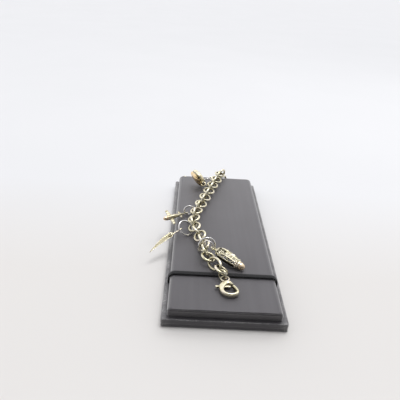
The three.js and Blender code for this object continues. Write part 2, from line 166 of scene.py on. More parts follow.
@dataclass
class Shell:
    """A closed surface: its points, quads and triangles, their map and two marks a point."""

    points: Array
    quads: Array
    triangles: Array
    quad_map: Array
    triangle_map: Array
    tone: Array
    painted_shade: Array

    @classmethod
    def of_grid(cls, grid: Array, loop: bool = False, tone: Array | float = 0.0,
                painted_shade: Array | float = 0.0) -> Shell:
        """A closed skin over rows of points.

        Each row is a ring of points, so the columns wrap round. The rows wrap too where the path
        is a loop. Elsewhere the first and the last row are closed by a fan of triangles round
        their own middle. Faces are turned so that the volume inside is positive.

        Args:
            grid: Points as rows by columns by three.
            loop: Whether the last row joins the first.
            tone: How far each point goes towards the finish's second colour.
            painted_shade: How far each point is darkened with painted shade.

        Returns:
            The closed surface.
        """
        rows, columns = grid.shape[:2]
        last = rows if loop else rows - 1
        i, j = np.meshgrid(np.arange(last), np.arange(columns), indexing="ij")
        i, j = i.ravel(), j.ravel()
        i1, j1 = (i + 1) % rows, (j + 1) % columns
        quads = np.stack([i * columns + j, i * columns + j1, i1 * columns + j1, i1 * columns + j], 1)
        step = np.linalg.norm(np.diff(grid.mean(1), axis=0), axis=1)
        run = np.concatenate([[0.0], np.cumsum(step), [step.sum() + step.mean()]])
        u = np.stack([j, j + 1, j + 1, j], 1) / columns
        v = np.stack([run[i], run[i], run[i + 1], run[i + 1]], 1)
        points = grid.reshape(-1, 3)
        tones, painted_shades = (np.broadcast_to(mark, (rows, columns)).reshape(-1) for mark in (tone, painted_shade))
        triangles = np.zeros((0, 3), int)
        triangle_map = np.zeros((0, 3, 2))
        if not loop:
            k = np.arange(columns)
            near, far = len(points), len(points) + 1
            top = (rows - 1) * columns
            first = np.stack([np.full(columns, near), (k + 1) % columns, k], 1)
            end = np.stack([np.full(columns, far), top + k, top + (k + 1) % columns], 1)
            triangles = np.vstack([first, end])
            points = np.vstack([points, grid[0].mean(0), grid[-1].mean(0)])
            tones, painted_shades = (
                np.concatenate([mark, [mark[:columns].mean(), mark[-columns:].mean()]])
                for mark in (tones, painted_shades)
            )
            fan = np.stack([k + 0.5, k + 1, k], 1) / columns
            depth = np.concatenate([np.full((columns, 3), run[0]), np.full((columns, 3), run[-2])])
            triangle_map = np.stack([np.vstack([fan, fan[:, [0, 2, 1]]]), depth], 2)
        shell = cls(points, quads, triangles, np.stack([u, v], 2), triangle_map, tones, painted_shades)
        return shell if shell.volume() > 0 else shell.turned()

    def volume(self) -> float:
        """The volume inside, as the sum of the tetrahedra from the middle to every face.

        Returns:
            The volume, negative where the faces point inwards.
        """
        p = self.points - self.points.mean(0)
        faces = np.vstack([self.quads[:, :3], self.quads[:, [0, 2, 3]], self.triangles])
        a, b, c = p[faces[:, 0]], p[faces[:, 1]], p[faces[:, 2]]
        return float((a * np.cross(b, c)).sum() / 6)

    def turned(self) -> Shell:
        """The same surface with every face turned over."""
        names = ("quads", "triangles", "quad_map", "triangle_map")
        return replace(self, **{name: getattr(self, name)[:, ::-1] for name in names})

    def moved(self, matrix: Array, shift: Sequence[float] = (0, 0, 0)) -> Shell:
        """The same surface with its points turned by a matrix of rows and then shifted."""
        return replace(self, points=self.points @ matrix + np.asarray(shift, float))

    def wear_and_shade(self, painted_shade: float) -> Shell:
        """The same surface, darkened alike all over with painted shade."""
        return replace(self, painted_shade=np.full_like(self.painted_shade, painted_shade))


def about_x(angle: float) -> Array:
    """The matrix that turns row vectors about X by an angle in radians."""
    c, s = math.cos(angle), math.sin(angle)
    return np.array([[1, 0, 0], [0, c, s], [0, -s, c]], float)


def ellipse_section(half_x: float, half_y: float, sides: int, power: float = 2.0) -> Array:
    """A rounded section: the superellipse of a given power, 2 for an ellipse, more for a block.

    Args:
        half_x: Half the section's first size.
        half_y: Half its second size.
        sides: How many points it has.
        power: The superellipse's power.

    Returns:
        The points, one a row.
    """
    v = around(sides)
    share = 2.0 / power
    return np.stack(
        [half_x * signed_power(np.cos(v), share), half_y * signed_power(np.sin(v), share)], 1
    )


def sweep(path: Array, section: Array, up: Array, loop: bool = False,
          scale: Array | float = 1.0) -> Array:
    """Carries a section along a path.

    At each point of the path the section lies in the plane across the path: its first number
    runs to the side, which is up crossed with the way along, and its second runs over, which is
    the way along crossed with the side. Both are multiplied by the scale there.

    Args:
        path: Points, one a row.
        section: Points of the section, the same for all rows or one set a row.
        up: The way that the section's second axis leans, one for all or one a row.
        loop: Whether the path is a loop.
        scale: The section's size, one number or one a row.

    Returns:
        A grid of points, rows along the path by points of the section by three.
    """
    if loop:
        ahead = np.roll(path, -1, 0) - np.roll(path, 1, 0)
    else:
        ahead = np.gradient(path, axis=0)
    ahead = unit(ahead)
    side = unit(np.cross(np.broadcast_to(up, path.shape), ahead))
    over = np.cross(ahead, side)
    size = np.broadcast_to(scale, len(path))[:, None, None]
    part = np.broadcast_to(section, (len(path), *section.shape[-2:])) * size
    return path[:, None] + side[:, None] * part[..., :1] + over[:, None] * part[..., 1:]


def dome(steps: int, reach: float) -> tuple[Array, Array]:
    """A dome's rows past an end: how far out they lie, and their size, both as shares of one.

    They are the sine and the cosine of an angle that grows in equal steps to a share, reach, of
    a quarter turn.

    Args:
        steps: How many rows the dome has.
        reach: The share of a quarter turn.

    Returns:
        How far out the rows lie and their sizes.
    """
    angle = np.linspace(0, np.pi / 2, steps + 1)[1:] * reach
    return np.sin(angle), np.cos(angle)


def longer(path: Array, out: Array) -> Array:
    """A path with rows past both ends, straight on and as far out as given.

    Args:
        path: Points, one a row.
        out: How far past an end each new row lies.

    Returns:
        The longer path, with the new rows in order at both ends.
    """
    before = path[0] + unit(path[0] - path[1]) * out[:, None]
    after = path[-1] + unit(path[-1] - path[-2]) * out[:, None]
    return np.vstack([before[::-1], path, after])


def round_ends(path: Array, bulge: float) -> tuple[Array, Array]:
    """Adds rows past both ends of a path, where its section shrinks as a dome does.

    Args:
        path: Points, one a row.
        bulge: How far the dome stands past each end.

    Returns:
        The longer path and the size of the section at each of its rows.
    """
    out, size = dome(6, 0.97)
    return longer(path, bulge * out), np.concatenate([size[::-1], np.ones(len(path)), size])


def bar(path: Array, half_x: float, half_y: float, up: Array, sides: int = 16) -> Shell:
    """A round-ended bar along a path, with an ellipse for its section.

    Args:
        path: Points, one a row.
        half_x: Half the section's size to the side.
        half_y: Half its size over the path.
        up: The way the section's second axis leans, one for all or one a row.
        sides: Points round the section.

    Returns:
        The closed bar.
    """
    whole, size = round_ends(path, min(half_x, half_y))
    if np.ndim(up) == 2:
        pad = (len(whole) - len(path)) // 2
        up = np.pad(up, ((pad, pad), (0, 0)), mode="edge")
    return Shell.of_grid(sweep(whole, ellipse_section(half_x, half_y, sides), up, scale=size))


def bead(centre: Sequence[float], radius: float, steps: int = 12) -> Shell:
    """A ball: rings of latitude from pole to pole, each a circle of the cosine of its latitude.

    Args:
        centre: The ball's middle.
        radius: Its radius.
        steps: Rows from pole to pole.

    Returns:
        The ball's surface.
    """
    latitude = np.linspace(-np.pi / 2, np.pi / 2, steps + 1)[1:-1]
    v = around(steps * 2)
    grid = np.stack([
        np.cos(latitude)[:, None] * np.cos(v), np.cos(latitude)[:, None] * np.sin(v),
        np.repeat(np.sin(latitude)[:, None], len(v), 1),
    ], 2)
    return Shell.of_grid(grid * radius + np.asarray(centre, float))


def turned_form(profile: Array, sides: int) -> Shell:
    """A form turned on the X axis: each row of the profile is a place along X and a radius.

    Args:
        profile: Rows of a place along X and a radius.
        sides: Points round the form.

    Returns:
        The form's surface, closed at both ends.
    """
    v = around(sides)
    x = np.repeat(profile[:, :1], sides, 1)
    return Shell.of_grid(np.stack([x, profile[:, 1:] * np.cos(v), profile[:, 1:] * np.sin(v)], 2))


def prism(outline: Array, low: float, high: float) -> Shell:
    """A block with straight walls over a flat outline, for cutting.

    Args:
        outline: Points in X and Y, one a row.
        low: The height of its lower end.
        high: The height of its upper end.

    Returns:
        The block's surface.
    """
    ends = [np.column_stack([outline, np.full(len(outline), z)]) for z in (low, high)]
    return Shell.of_grid(np.stack(ends))


@dataclass(frozen=True)
class RingForm:
    """A ring of wire in its own XY plane, its long way along X.

    The middle of the wire is an ellipse, and the section of the wire stands on the way out from
    the ring's middle: x and y are the ellipse's plus the section's first number times the cosine
    and the sine of the angle round, and z is the section's second number. A soldered seam is a
    fine waist in the wire, and at a cut both ends are nipped to a share of its size.
    """

    half_length: float
    half_width: float
    wire: float
    inner_flat: float = 0.0
    seam: float = 0.0
    cut: float = 0.0
    lay: float = 0.0
    steps: int = 72
    sides: int = 20
    seam_reach: float = 0.05
    nipped: float = 0.86

    @classmethod
    def round(cls, outer: float, wire: float, **more: float) -> RingForm:
        """A round ring, given over its outside."""
        radius = (outer - wire) / 2
        return cls(radius, radius, wire, **more)

    def shell(self, turn: float = 0.0) -> Shell:
        """The ring's surface.

        Args:
            turn: Where the seam or the cut is, as an angle from the ring's right.

        Returns:
            A loop, or with a cut a bent bar with two flat ends that pass each other a little.
        """
        if self.cut:
            gap = self.cut / 2 / self.half_length
            inner = np.linspace(gap * 1.5, 2 * np.pi - gap * 1.5, self.steps)
            u = np.concatenate([[gap], inner, [2 * np.pi - gap]])
            size = np.concatenate([[self.nipped], np.ones(self.steps), [self.nipped]])
            shift = self.lay * np.cos(u / 2)
        else:
            u = around(self.steps)
            far = np.minimum(u, 2 * np.pi - u)
            size = 1 - self.seam * bell(far, 0, self.seam_reach)
            shift = np.zeros(self.steps)
        v = around(self.sides)
        radius = self.wire / 2
        out = radius * np.cos(v) * (1 - self.inner_flat * (1 - np.cos(v)) / 2)
        up = radius * np.sin(v)
        angle = u + turn
        c, s = np.cos(angle), np.sin(angle)
        grid = np.stack([
            (self.half_length * c)[:, None] + (size * c)[:, None] * out,
            (self.half_width * s)[:, None] + (size * s)[:, None] * out,
            shift[:, None] + size[:, None] * up,
        ], 2)
        # Painted shade: the inner side of the wire, facing the ring's middle, is darkened.
        hollow = np.broadcast_to(((1 - np.cos(v)) / 2) ** 2, grid.shape[:2])
        return Shell.of_grid(grid, loop=not self.cut, painted_shade=hollow)


def node_points(name: str) -> Array:
    """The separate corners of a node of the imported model, in millimetres.

    Args:
        name: The node's name.

    Returns:
        The corners, one a row, without doubles.
    """
    mesh = FRAME["nodes"][name].data
    flat = np.zeros(len(mesh.vertices) * 3, np.float32)
    mesh.vertices.foreach_get("co", flat)
    return np.unique(np.round(flat.reshape(-1, 3) / MM, 4), axis=0)


def ring_place(name: str) -> Place:
    """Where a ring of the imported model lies: its middle, its long way and the way it faces.

    Args:
        name: The name of the ring's node.

    Returns:
        A frame whose X is the long way and whose Z is the facing way.
    """
    points = node_points(name)
    middle = points.mean(0)
    _, _, ways = np.linalg.svd(points - middle, full_matrices=False)
    return Place.along(middle, ways[0], ways[2])


# ---------------------------------------------------------------- finishes


class Graph:
    """A material's nodes, with short ways to add and join them."""

    def __init__(self, name: str) -> None:
        """Starts a material with one Principled shader on its output.

        Args:
            name: The material's name.
        """
        self.material = bpy.data.materials.new(name)
        self.material.use_nodes = True
        self.tree = self.material.node_tree
        self.tree.nodes.clear()
        self.shader = self.tree.nodes.new("ShaderNodeBsdfPrincipled")
        output = self.tree.nodes.new("ShaderNodeOutputMaterial")
        self.join(self.shader.outputs["BSDF"], output.inputs["Surface"])
        self.where = self.tree.nodes.new("ShaderNodeTexCoord")

    def join(self, start: bpy.types.NodeSocket, end: bpy.types.NodeSocket) -> None:
        """Links two sockets."""
        self.tree.links.new(start, end)

    def put(self, socket: bpy.types.NodeSocket, value: object) -> None:
        """Gives a socket a number, a colour or a link.

        Args:
            socket: The input to fill.
            value: A number, a vector, a colour of three, or the output to link.
        """
        if isinstance(value, bpy.types.NodeSocket):
            self.join(value, socket)
        elif isinstance(value, tuple) and len(value) == 3 and socket.type == "RGBA":
            socket.default_value = (*value, 1.0)
        else:
            socket.default_value = value

    def mapped(self, scale: tuple[float, float, float]) -> bpy.types.NodeSocket:
        """Object coordinates stretched by a scale on each axis.

        Args:
            scale: The stretch along X, Y and Z.

        Returns:
            The stretched coordinates.
        """
        node = self.tree.nodes.new("ShaderNodeMapping")
        node.inputs["Scale"].default_value = scale
        self.join(self.where.outputs["Object"], node.inputs["Vector"])
        return node.outputs["Vector"]

    def share(self, coordinates: str, axis: str) -> bpy.types.NodeSocket:
        """One axis of the coordinates of a kind, Object in metres or UV.

        Args:
            coordinates: Which coordinates.
            axis: X, Y or Z.

        Returns:
            The coordinate's value.
        """
        node = self.tree.nodes.new("ShaderNodeSeparateXYZ")
        self.join(self.where.outputs[coordinates], node.inputs["Vector"])
        return node.outputs[axis]

    def noise(self, scale: float, detail: float = 3.0, rough: float = 0.5,
              vector: bpy.types.NodeSocket | None = None) -> bpy.types.NodeSocket:
        """Noise over the object, a number round a half.

        Args:
            scale: Waves a metre, roughly.
            detail: How many finer layers it has.
            rough: How strong the finer layers are.
            vector: Other coordinates than the object's own.

        Returns:
            The noise's value.
        """
        node = self.tree.nodes.new("ShaderNodeTexNoise")
        node.inputs["Scale"].default_value = scale
        node.inputs["Detail"].default_value = detail
        node.inputs["Roughness"].default_value = rough
        self.join(vector or self.where.outputs["Object"], node.inputs["Vector"])
        return node.outputs["Fac"]

    def cells(self, scale: float) -> bpy.types.NodeSocket:
        """The smoothed distance to the nearest cell's middle, for a pebbled grain.

        Args:
            scale: Cells a metre.

        Returns:
            The distance, in cells.
        """
        node = self.tree.nodes.new("ShaderNodeTexVoronoi")
        node.feature = "SMOOTH_F1"
        node.inputs["Scale"].default_value = scale
        node.inputs["Smoothness"].default_value = 0.4
        self.join(self.where.outputs["Object"], node.inputs["Vector"])
        return node.outputs["Distance"]

    def mark(self, name: str) -> bpy.types.NodeSocket:
        """A mark that the mesh carries at each point.

        Args:
            name: The mark's name: tone, or patina for the painted shade.

        Returns:
            The mark's value.
        """
        node = self.tree.nodes.new("ShaderNodeAttribute")
        node.attribute_name = name
        return node.outputs["Fac"]

    def maths(self, kind: str, *values: object) -> bpy.types.NodeSocket:
        """A Math node of a given kind.

        Args:
            kind: The node's operation.
            values: Its inputs, each a number or a link.

        Returns:
            The node's result.
        """
        node = self.tree.nodes.new("ShaderNodeMath")
        node.operation = kind
        for socket, value in zip(node.inputs, values):
            self.put(socket, value)
        return node.outputs[0]

    def times(self, first: object, second: object) -> bpy.types.NodeSocket:
        """The product of two numbers."""
        return self.maths("MULTIPLY", first, second)

    def mean(self, first: object, second: object, share: float = 0.5) -> bpy.types.NodeSocket:
        """The mean of two numbers, the first of which has the given share."""
        return self.maths("ADD", self.times(first, share), self.times(second, 1 - share))

    def ranged(self, value: bpy.types.NodeSocket, low: float, high: float, to_low: float = 0.0,
               to_high: float = 1.0) -> bpy.types.NodeSocket:
        """A value moved from one range to another and held inside it.

        Args:
            value: The value to move.
            low: Where its range starts.
            high: Where its range ends.
            to_low: Where the start goes.
            to_high: Where the end goes.

        Returns:
            The moved value.
        """
        node = self.tree.nodes.new("ShaderNodeMapRange")
        for socket, number in zip(node.inputs[1:5], (low, high, to_low, to_high)):
            socket.default_value = number
        self.join(value, node.inputs[0])
        return node.outputs[0]

    def blend(self, share: object, first: object, second: object) -> bpy.types.NodeSocket:
        """A mix of two colours.

        Args:
            share: How much of the second colour shows, from 0 to 1.
            first: A colour or a link.
            second: A colour or a link.

        Returns:
            The mixed colour.
        """
        node = self.tree.nodes.new("ShaderNodeMix")
        node.data_type = "RGBA"
        inputs = [s for s in node.inputs if s.enabled and s.type == "RGBA"]
        self.put(node.inputs["Factor"], share)
        self.put(inputs[0], first)
        self.put(inputs[1], second)
        return next(s for s in node.outputs if s.type == "RGBA")

    def relief(self, height: bpy.types.NodeSocket, distance: float, strength: float = 0.5,
               under: bpy.types.NodeSocket | None = None) -> bpy.types.NodeSocket:
        """A Bump node, its distance in millimetres, on top of another where one is given.

        Args:
            height: The relief's height.
            distance: How deep the relief is, in millimetres.
            strength: How much of it shows.
            under: The relief that it lies on.

        Returns:
            The bent normal.
        """
        node = self.tree.nodes.new("ShaderNodeBump")
        node.inputs["Distance"].default_value = distance * MM
        node.inputs["Strength"].default_value = strength
        self.join(height, node.inputs["Height"])
        if under:
            self.join(under, node.inputs["Normal"])
        return node.outputs["Normal"]

    def shaded(self, inputs: dict[str, object]) -> bpy.types.Material:
        """Gives the shader its inputs, each a number or a link, and returns the material.

        Args:
            inputs: What each of the shader's inputs gets, by name.

        Returns:
            The finished material.
        """
        for name, value in inputs.items():
            self.put(self.shader.inputs[name], value)
        return self.material


@dataclass(frozen=True)
class Finish:
    """What a surface is made of: its name and the record's slot, none for the studio's own."""

    name: str
    slot: Slot | None

    def material(self) -> bpy.types.Material:
        """Builds the finish's nodes."""
        raise NotImplementedError


@dataclass(frozen=True)
class MetalFinish(Finish):
    """Plated metal: a pale face with deeper clouds, painted shade on hollow sides and a second tint.

    The scales of its clouds, blush, wear, scratches and dents are patches a metre, roughly.
    """

    pale: Colour
    deep: Colour
    blush: Colour
    hollow: Colour
    tint: Colour
    low_gloss: float = 0.13
    high_gloss: float = 0.30
    clouds: float = 330.0
    blushes: float = 150.0
    wear: float = 1500.0
    scratches: float = 900.0
    dents: float = 420.0

    def material(self) -> bpy.types.Material:
        """Builds the nodes: clouds of colour, dull painted shade, fine wear and soft dents.

        Returns:
            The material.
        """
        g = Graph(self.name)
        colour = g.blend(g.ranged(g.noise(self.clouds, 3), 0.36, 0.64), self.pale, self.deep)
        rosy = g.ranged(g.noise(self.blushes, 2), 0.54, 0.68, 0, 0.75)
        colour = g.blend(rosy, colour, self.blush)
        wear_and_shade = g.noise(self.wear, 5, 0.65)
        # Painted shade: the mesh's shade mark, broken by the wear noise, darkens towards the hollow
        # colour and adds roughness.
        depth = g.times(g.mark("painted_shade"), g.ranged(wear_and_shade, 0.3, 0.7, 0.60, 1.0))
        colour = g.blend(depth, colour, self.hollow)
        # The tone mark tints towards the second colour: rosy ends, and on the locket's lower half a
        # painted reflection.
        colour = g.blend(g.mark("tone"), colour, self.tint)
        scratched = g.noise(self.scratches, 4, 0.7, g.mapped((1.0, 7.0, 3.0)))
        gloss = g.ranged(g.mean(scratched, wear_and_shade), 0.3, 0.7, self.low_gloss, self.high_gloss)
        dented = g.relief(g.noise(self.dents, 2), 0.06)
        return g.shaded({
            "Base Color": colour, "Metallic": 1.0,
            "Roughness": g.maths("ADD", gloss, g.times(depth, 0.18)),
            "Normal": g.relief(scratched, 0.006, under=dented),
        })


@dataclass(frozen=True)
class LeatheretteFinish(Finish):
    """Grained leather cloth over board, paler where rubbed and with painted light, darker in painted
    shade.
    """

    face: Colour
    shade: Colour
    rubbed_and_lit: Colour
    wall_shade_strength: float = 0.45
    grain: float = 2100.0
    flecks: float = 2600.0
    streaks: tuple[float, float, float] = (260.0, 9.0, 260.0)

    def material(self) -> bpy.types.Material:
        """Builds the nodes: long faint streaks, pebbled grain, rubbing and painted light, painted
        shade.

        Returns:
            The material.
        """
        g = Graph(self.name)
        streaks = g.noise(1.0, 3, 0.55, g.mapped(self.streaks))
        tone = g.mean(streaks, g.noise(38, 3), 0.6)
        colour = g.blend(g.ranged(tone, 0.35, 0.65), self.shade, self.face)
        grain = g.cells(self.grain)
        fleck = g.noise(self.flecks, 4, 0.7)
        # The tone mark pales the cover: rubbing at brims and corners, and painted light on the ledges.
        rub_and_light = g.times(g.mark("tone"), g.ranged(fleck, 0.42, 0.62))
        rub_and_light = g.times(rub_and_light, g.ranged(g.noise(120, 3), 0.38, 0.60, 0.35, 1.0))
        colour = g.blend(rub_and_light, colour, self.rubbed_and_lit)
        colour = g.blend(g.ranged(grain, 0.0, 0.35, 0.82, 1.0), self.shade, colour)
        # Painted shade: the shade mark darkens the end walls and the left side's rounding.
        colour = g.blend(g.mark("painted_shade"), colour, tuple(self.wall_shade_strength * c for c in self.shade))
        return g.shaded({
            "Base Color": colour, "Roughness": g.ranged(fleck, 0.3, 0.7, 0.40, 0.56),
            "Specular IOR Level": 0.42, "Sheen Weight": 0.80, "Sheen Roughness": 0.45,
            "Normal": g.relief(fleck, 0.02, under=g.relief(grain, 0.05, 0.55)),
        })


@dataclass(frozen=True)
class ElasticFinish(Finish):
    """Braided elastic: fine cords along it, crossed by the weave."""

    thread: Colour
    gap: Colour
    cords: float = 22.0
    weave_mm: float = 0.55

    def material(self) -> bpy.types.Material:
        """Builds the nodes: two sine waves over the piece's own map, one across and one along.

        Returns:
            The material.
        """
        g = Graph(self.name)
        side, length = g.share("UV", "X"), g.share("UV", "Y")
        across = g.maths("SINE", g.times(side, 2 * math.pi * self.cords))
        along = g.times(length, 2 * math.pi / self.weave_mm)
        skewed = g.maths("ADD", along, g.times(side, math.pi * self.cords))
        woven = g.times(across, g.maths("SINE", skewed))
        colour = g.blend(g.ranged(woven, -0.6, 0.8), self.gap, self.thread)
        fuzz = g.noise(3000, 4, 0.7)
        colour = g.blend(g.ranged(fuzz, 0.55, 0.75, 0, 0.35), colour, self.thread)
        return g.shaded({
            "Base Color": colour, "Roughness": g.ranged(fuzz, 0.3, 0.7, 0.62, 0.85),
            "Specular IOR Level": 0.30, "Sheen Weight": 0.10, "Normal": g.relief(woven, 0.06, 0.8),
        })


@dataclass(frozen=True)
class PaperFinish(Finish):
    """The matt pale sheet that the stand lies on, warmer and darker in front as painted shade."""

    front: Colour
    behind: Colour
    front_at: float = -0.04
    behind_at: float = 0.09

    def material(self) -> bpy.types.Material:
        """Builds the nodes: two tones that pass into each other, with the faintest cloud.

        Returns:
            The material.
        """
        g = Graph(self.name)
        # Painted shade: the sheet is warmer and darker in front.
        back = g.ranged(g.share("Object", "Y"), self.front_at, self.behind_at)
        cloud = g.ranged(g.noise(6, 2), 0.3, 0.7, 0, 0.015)
        colour = g.blend(cloud, g.blend(back, self.front, self.behind), (0.0, 0.0, 0.0))
        return g.shaded({"Base Color": colour, "Roughness": 0.75, "Specular IOR Level": 0.25})


PALE_GOLD = MetalFinish(
    "pale_gold_plate", Slot.GOLD, pale=(0.91, 0.865, 0.69), deep=(0.69, 0.64, 0.43),
    blush=(0.88, 0.79, 0.68), hollow=(0.15, 0.12, 0.06), tint=(0.86, 0.62, 0.42),
)
# The locket's gold; its tint is the painted reflection on the locket's lower half.
WARM_GOLD = MetalFinish(
    "warm_gold_plate", Slot.GOLD, pale=(0.92, 0.86, 0.66), deep=(0.78, 0.68, 0.42),
    blush=(0.88, 0.76, 0.56), hollow=(0.15, 0.12, 0.05), tint=(0.84, 0.60, 0.30),
)
# Near-black hollow colour for the deep painted shade inside and under the filigree drop, with a paler
# rosy toe.
DEEP_SHADE_GOLD = replace(
    PALE_GOLD, name="gold_plate_deep_shade", hollow=(0.045, 0.038, 0.025), tint=(0.92, 0.74, 0.52),
)
BRIGHT_SILVER = MetalFinish(
    "bright_silver_plate", Slot.SILVER, pale=(0.92, 0.91, 0.89), deep=(0.76, 0.75, 0.73),
    blush=(0.84, 0.80, 0.80), hollow=(0.30, 0.29, 0.29), tint=(0.80, 0.76, 0.60),
    low_gloss=0.08, high_gloss=0.20,
)
BOARD_COVER = LeatheretteFinish(
    "grey_leatherette", Slot.LEATHERETTE, face=(0.074, 0.0695, 0.078), shade=(0.057, 0.053, 0.060),
    rubbed_and_lit=(0.52, 0.52, 0.51),
)
BAND_WEAVE = ElasticFinish(
    "black_elastic", Slot.ELASTIC, thread=(0.012, 0.012, 0.0135), gap=(0.004, 0.004, 0.005),
)
SHEET = PaperFinish("pale_sheet", None, front=(0.725, 0.710, 0.693), behind=(0.770, 0.777, 0.792))


class Workshop:
    """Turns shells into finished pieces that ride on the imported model's bodies."""

    sharp_from = math.radians(38)

    def __init__(self) -> None:
        """Starts with no material made."""
        self.materials: dict[str, bpy.types.Material] = {}

    def finish(self, finish: Finish) -> bpy.types.Material:
        """The material of a finish, made once.

        Args:
            finish: The finish to make or to find again.

        Returns:
            Its material, the same each time.
        """
        if finish.name not in self.materials:
            self.materials[finish.name] = finish.material()
        return self.materials[finish.name]

    def mesh(self, name: str, shells: Iterable[Shell], place: Place) -> bpy.types.Object:
        """Puts shells together into one smooth mesh.

        Args:
            name: The new object's name.
            shells: Its closed surfaces, in millimetres in the piece's own frame.
            place: Where that frame is in the model.

        Returns:
            The object, linked to the scene, with its map and its two marks.
        """
        shells = list(shells)
        starts = np.cumsum([0, *[len(s.points) for s in shells]])
        points = place.put(np.vstack([s.points for s in shells])) * MM
        faces: list[list[int]] = []
        maps: list[Array] = []
        for start, shell in zip(starts, shells):
            faces += (shell.quads + start).tolist() + (shell.triangles + start).tolist()
            maps += [shell.quad_map.reshape(-1, 2), shell.triangle_map.reshape(-1, 2)]
        mesh = bpy.data.meshes.new(name)
        mesh.from_pydata(points, [], faces)
        corners = np.vstack(maps).astype(np.float32)
        mesh.uv_layers.new(name="UVMap").data.foreach_set("uv", corners.ravel())
        for mark in ("tone", "painted_shade"):
            values = np.concatenate([getattr(s, mark) for s in shells]).astype(np.float32)
            mesh.attributes.new(mark, "FLOAT", "POINT").data.foreach_set("value", values)
        mesh.polygons.foreach_set("use_smooth", np.ones(len(mesh.polygons), bool))
        mesh.set_sharp_from_angle(angle=self.sharp_from)
        mesh.update()
        made = bpy.data.objects.new(name, mesh)
        bpy.context.scene.collection.objects.link(made)
        return made

    def cut_away(self, piece: bpy.types.Object, shells: Iterable[Shell], place: Place) -> None:
        """Cuts shells out of a piece and keeps the result in its mesh.

        Args:
            piece: The piece to cut.
            shells: The closed surfaces to cut out of it.
            place: Where the surfaces' own frame is in the model.
        """
        tool = self.mesh(piece.name + "_tool", shells, place)
        modifier = piece.modifiers.new("cut", "BOOLEAN")
        modifier.operation = "DIFFERENCE"
        modifier.solver = "EXACT"
        modifier.use_self = True
        modifier.object = tool
        self.settle(piece)
        bpy.data.objects.remove(tool)

    def settle(self, piece: bpy.types.Object) -> None:
        """Replaces a piece's mesh by what its modifiers make of it.

        Args:
            piece: The piece, left with no modifier.
        """
        graph = bpy.context.evaluated_depsgraph_get()
        mesh = bpy.data.meshes.new_from_object(piece.evaluated_get(graph))
        piece.modifiers.clear()
        piece.data = mesh
        mesh.set_sharp_from_angle(angle=self.sharp_from)

    def dress(self, piece: bpy.types.Object, finish: Finish, node: str,
              body: Body = Body.STAND) -> None:
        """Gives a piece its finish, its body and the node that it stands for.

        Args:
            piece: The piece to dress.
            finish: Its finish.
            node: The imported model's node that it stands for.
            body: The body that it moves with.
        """
        piece.data.materials.clear()
        piece.data.materials.append(self.finish(finish))
        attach(piece, body.value)
        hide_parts(node)
        LOG.info("%s stands for %s: %d faces", piece.name, node, len(piece.data.polygons))


# ---------------------------------------------------------------- stand


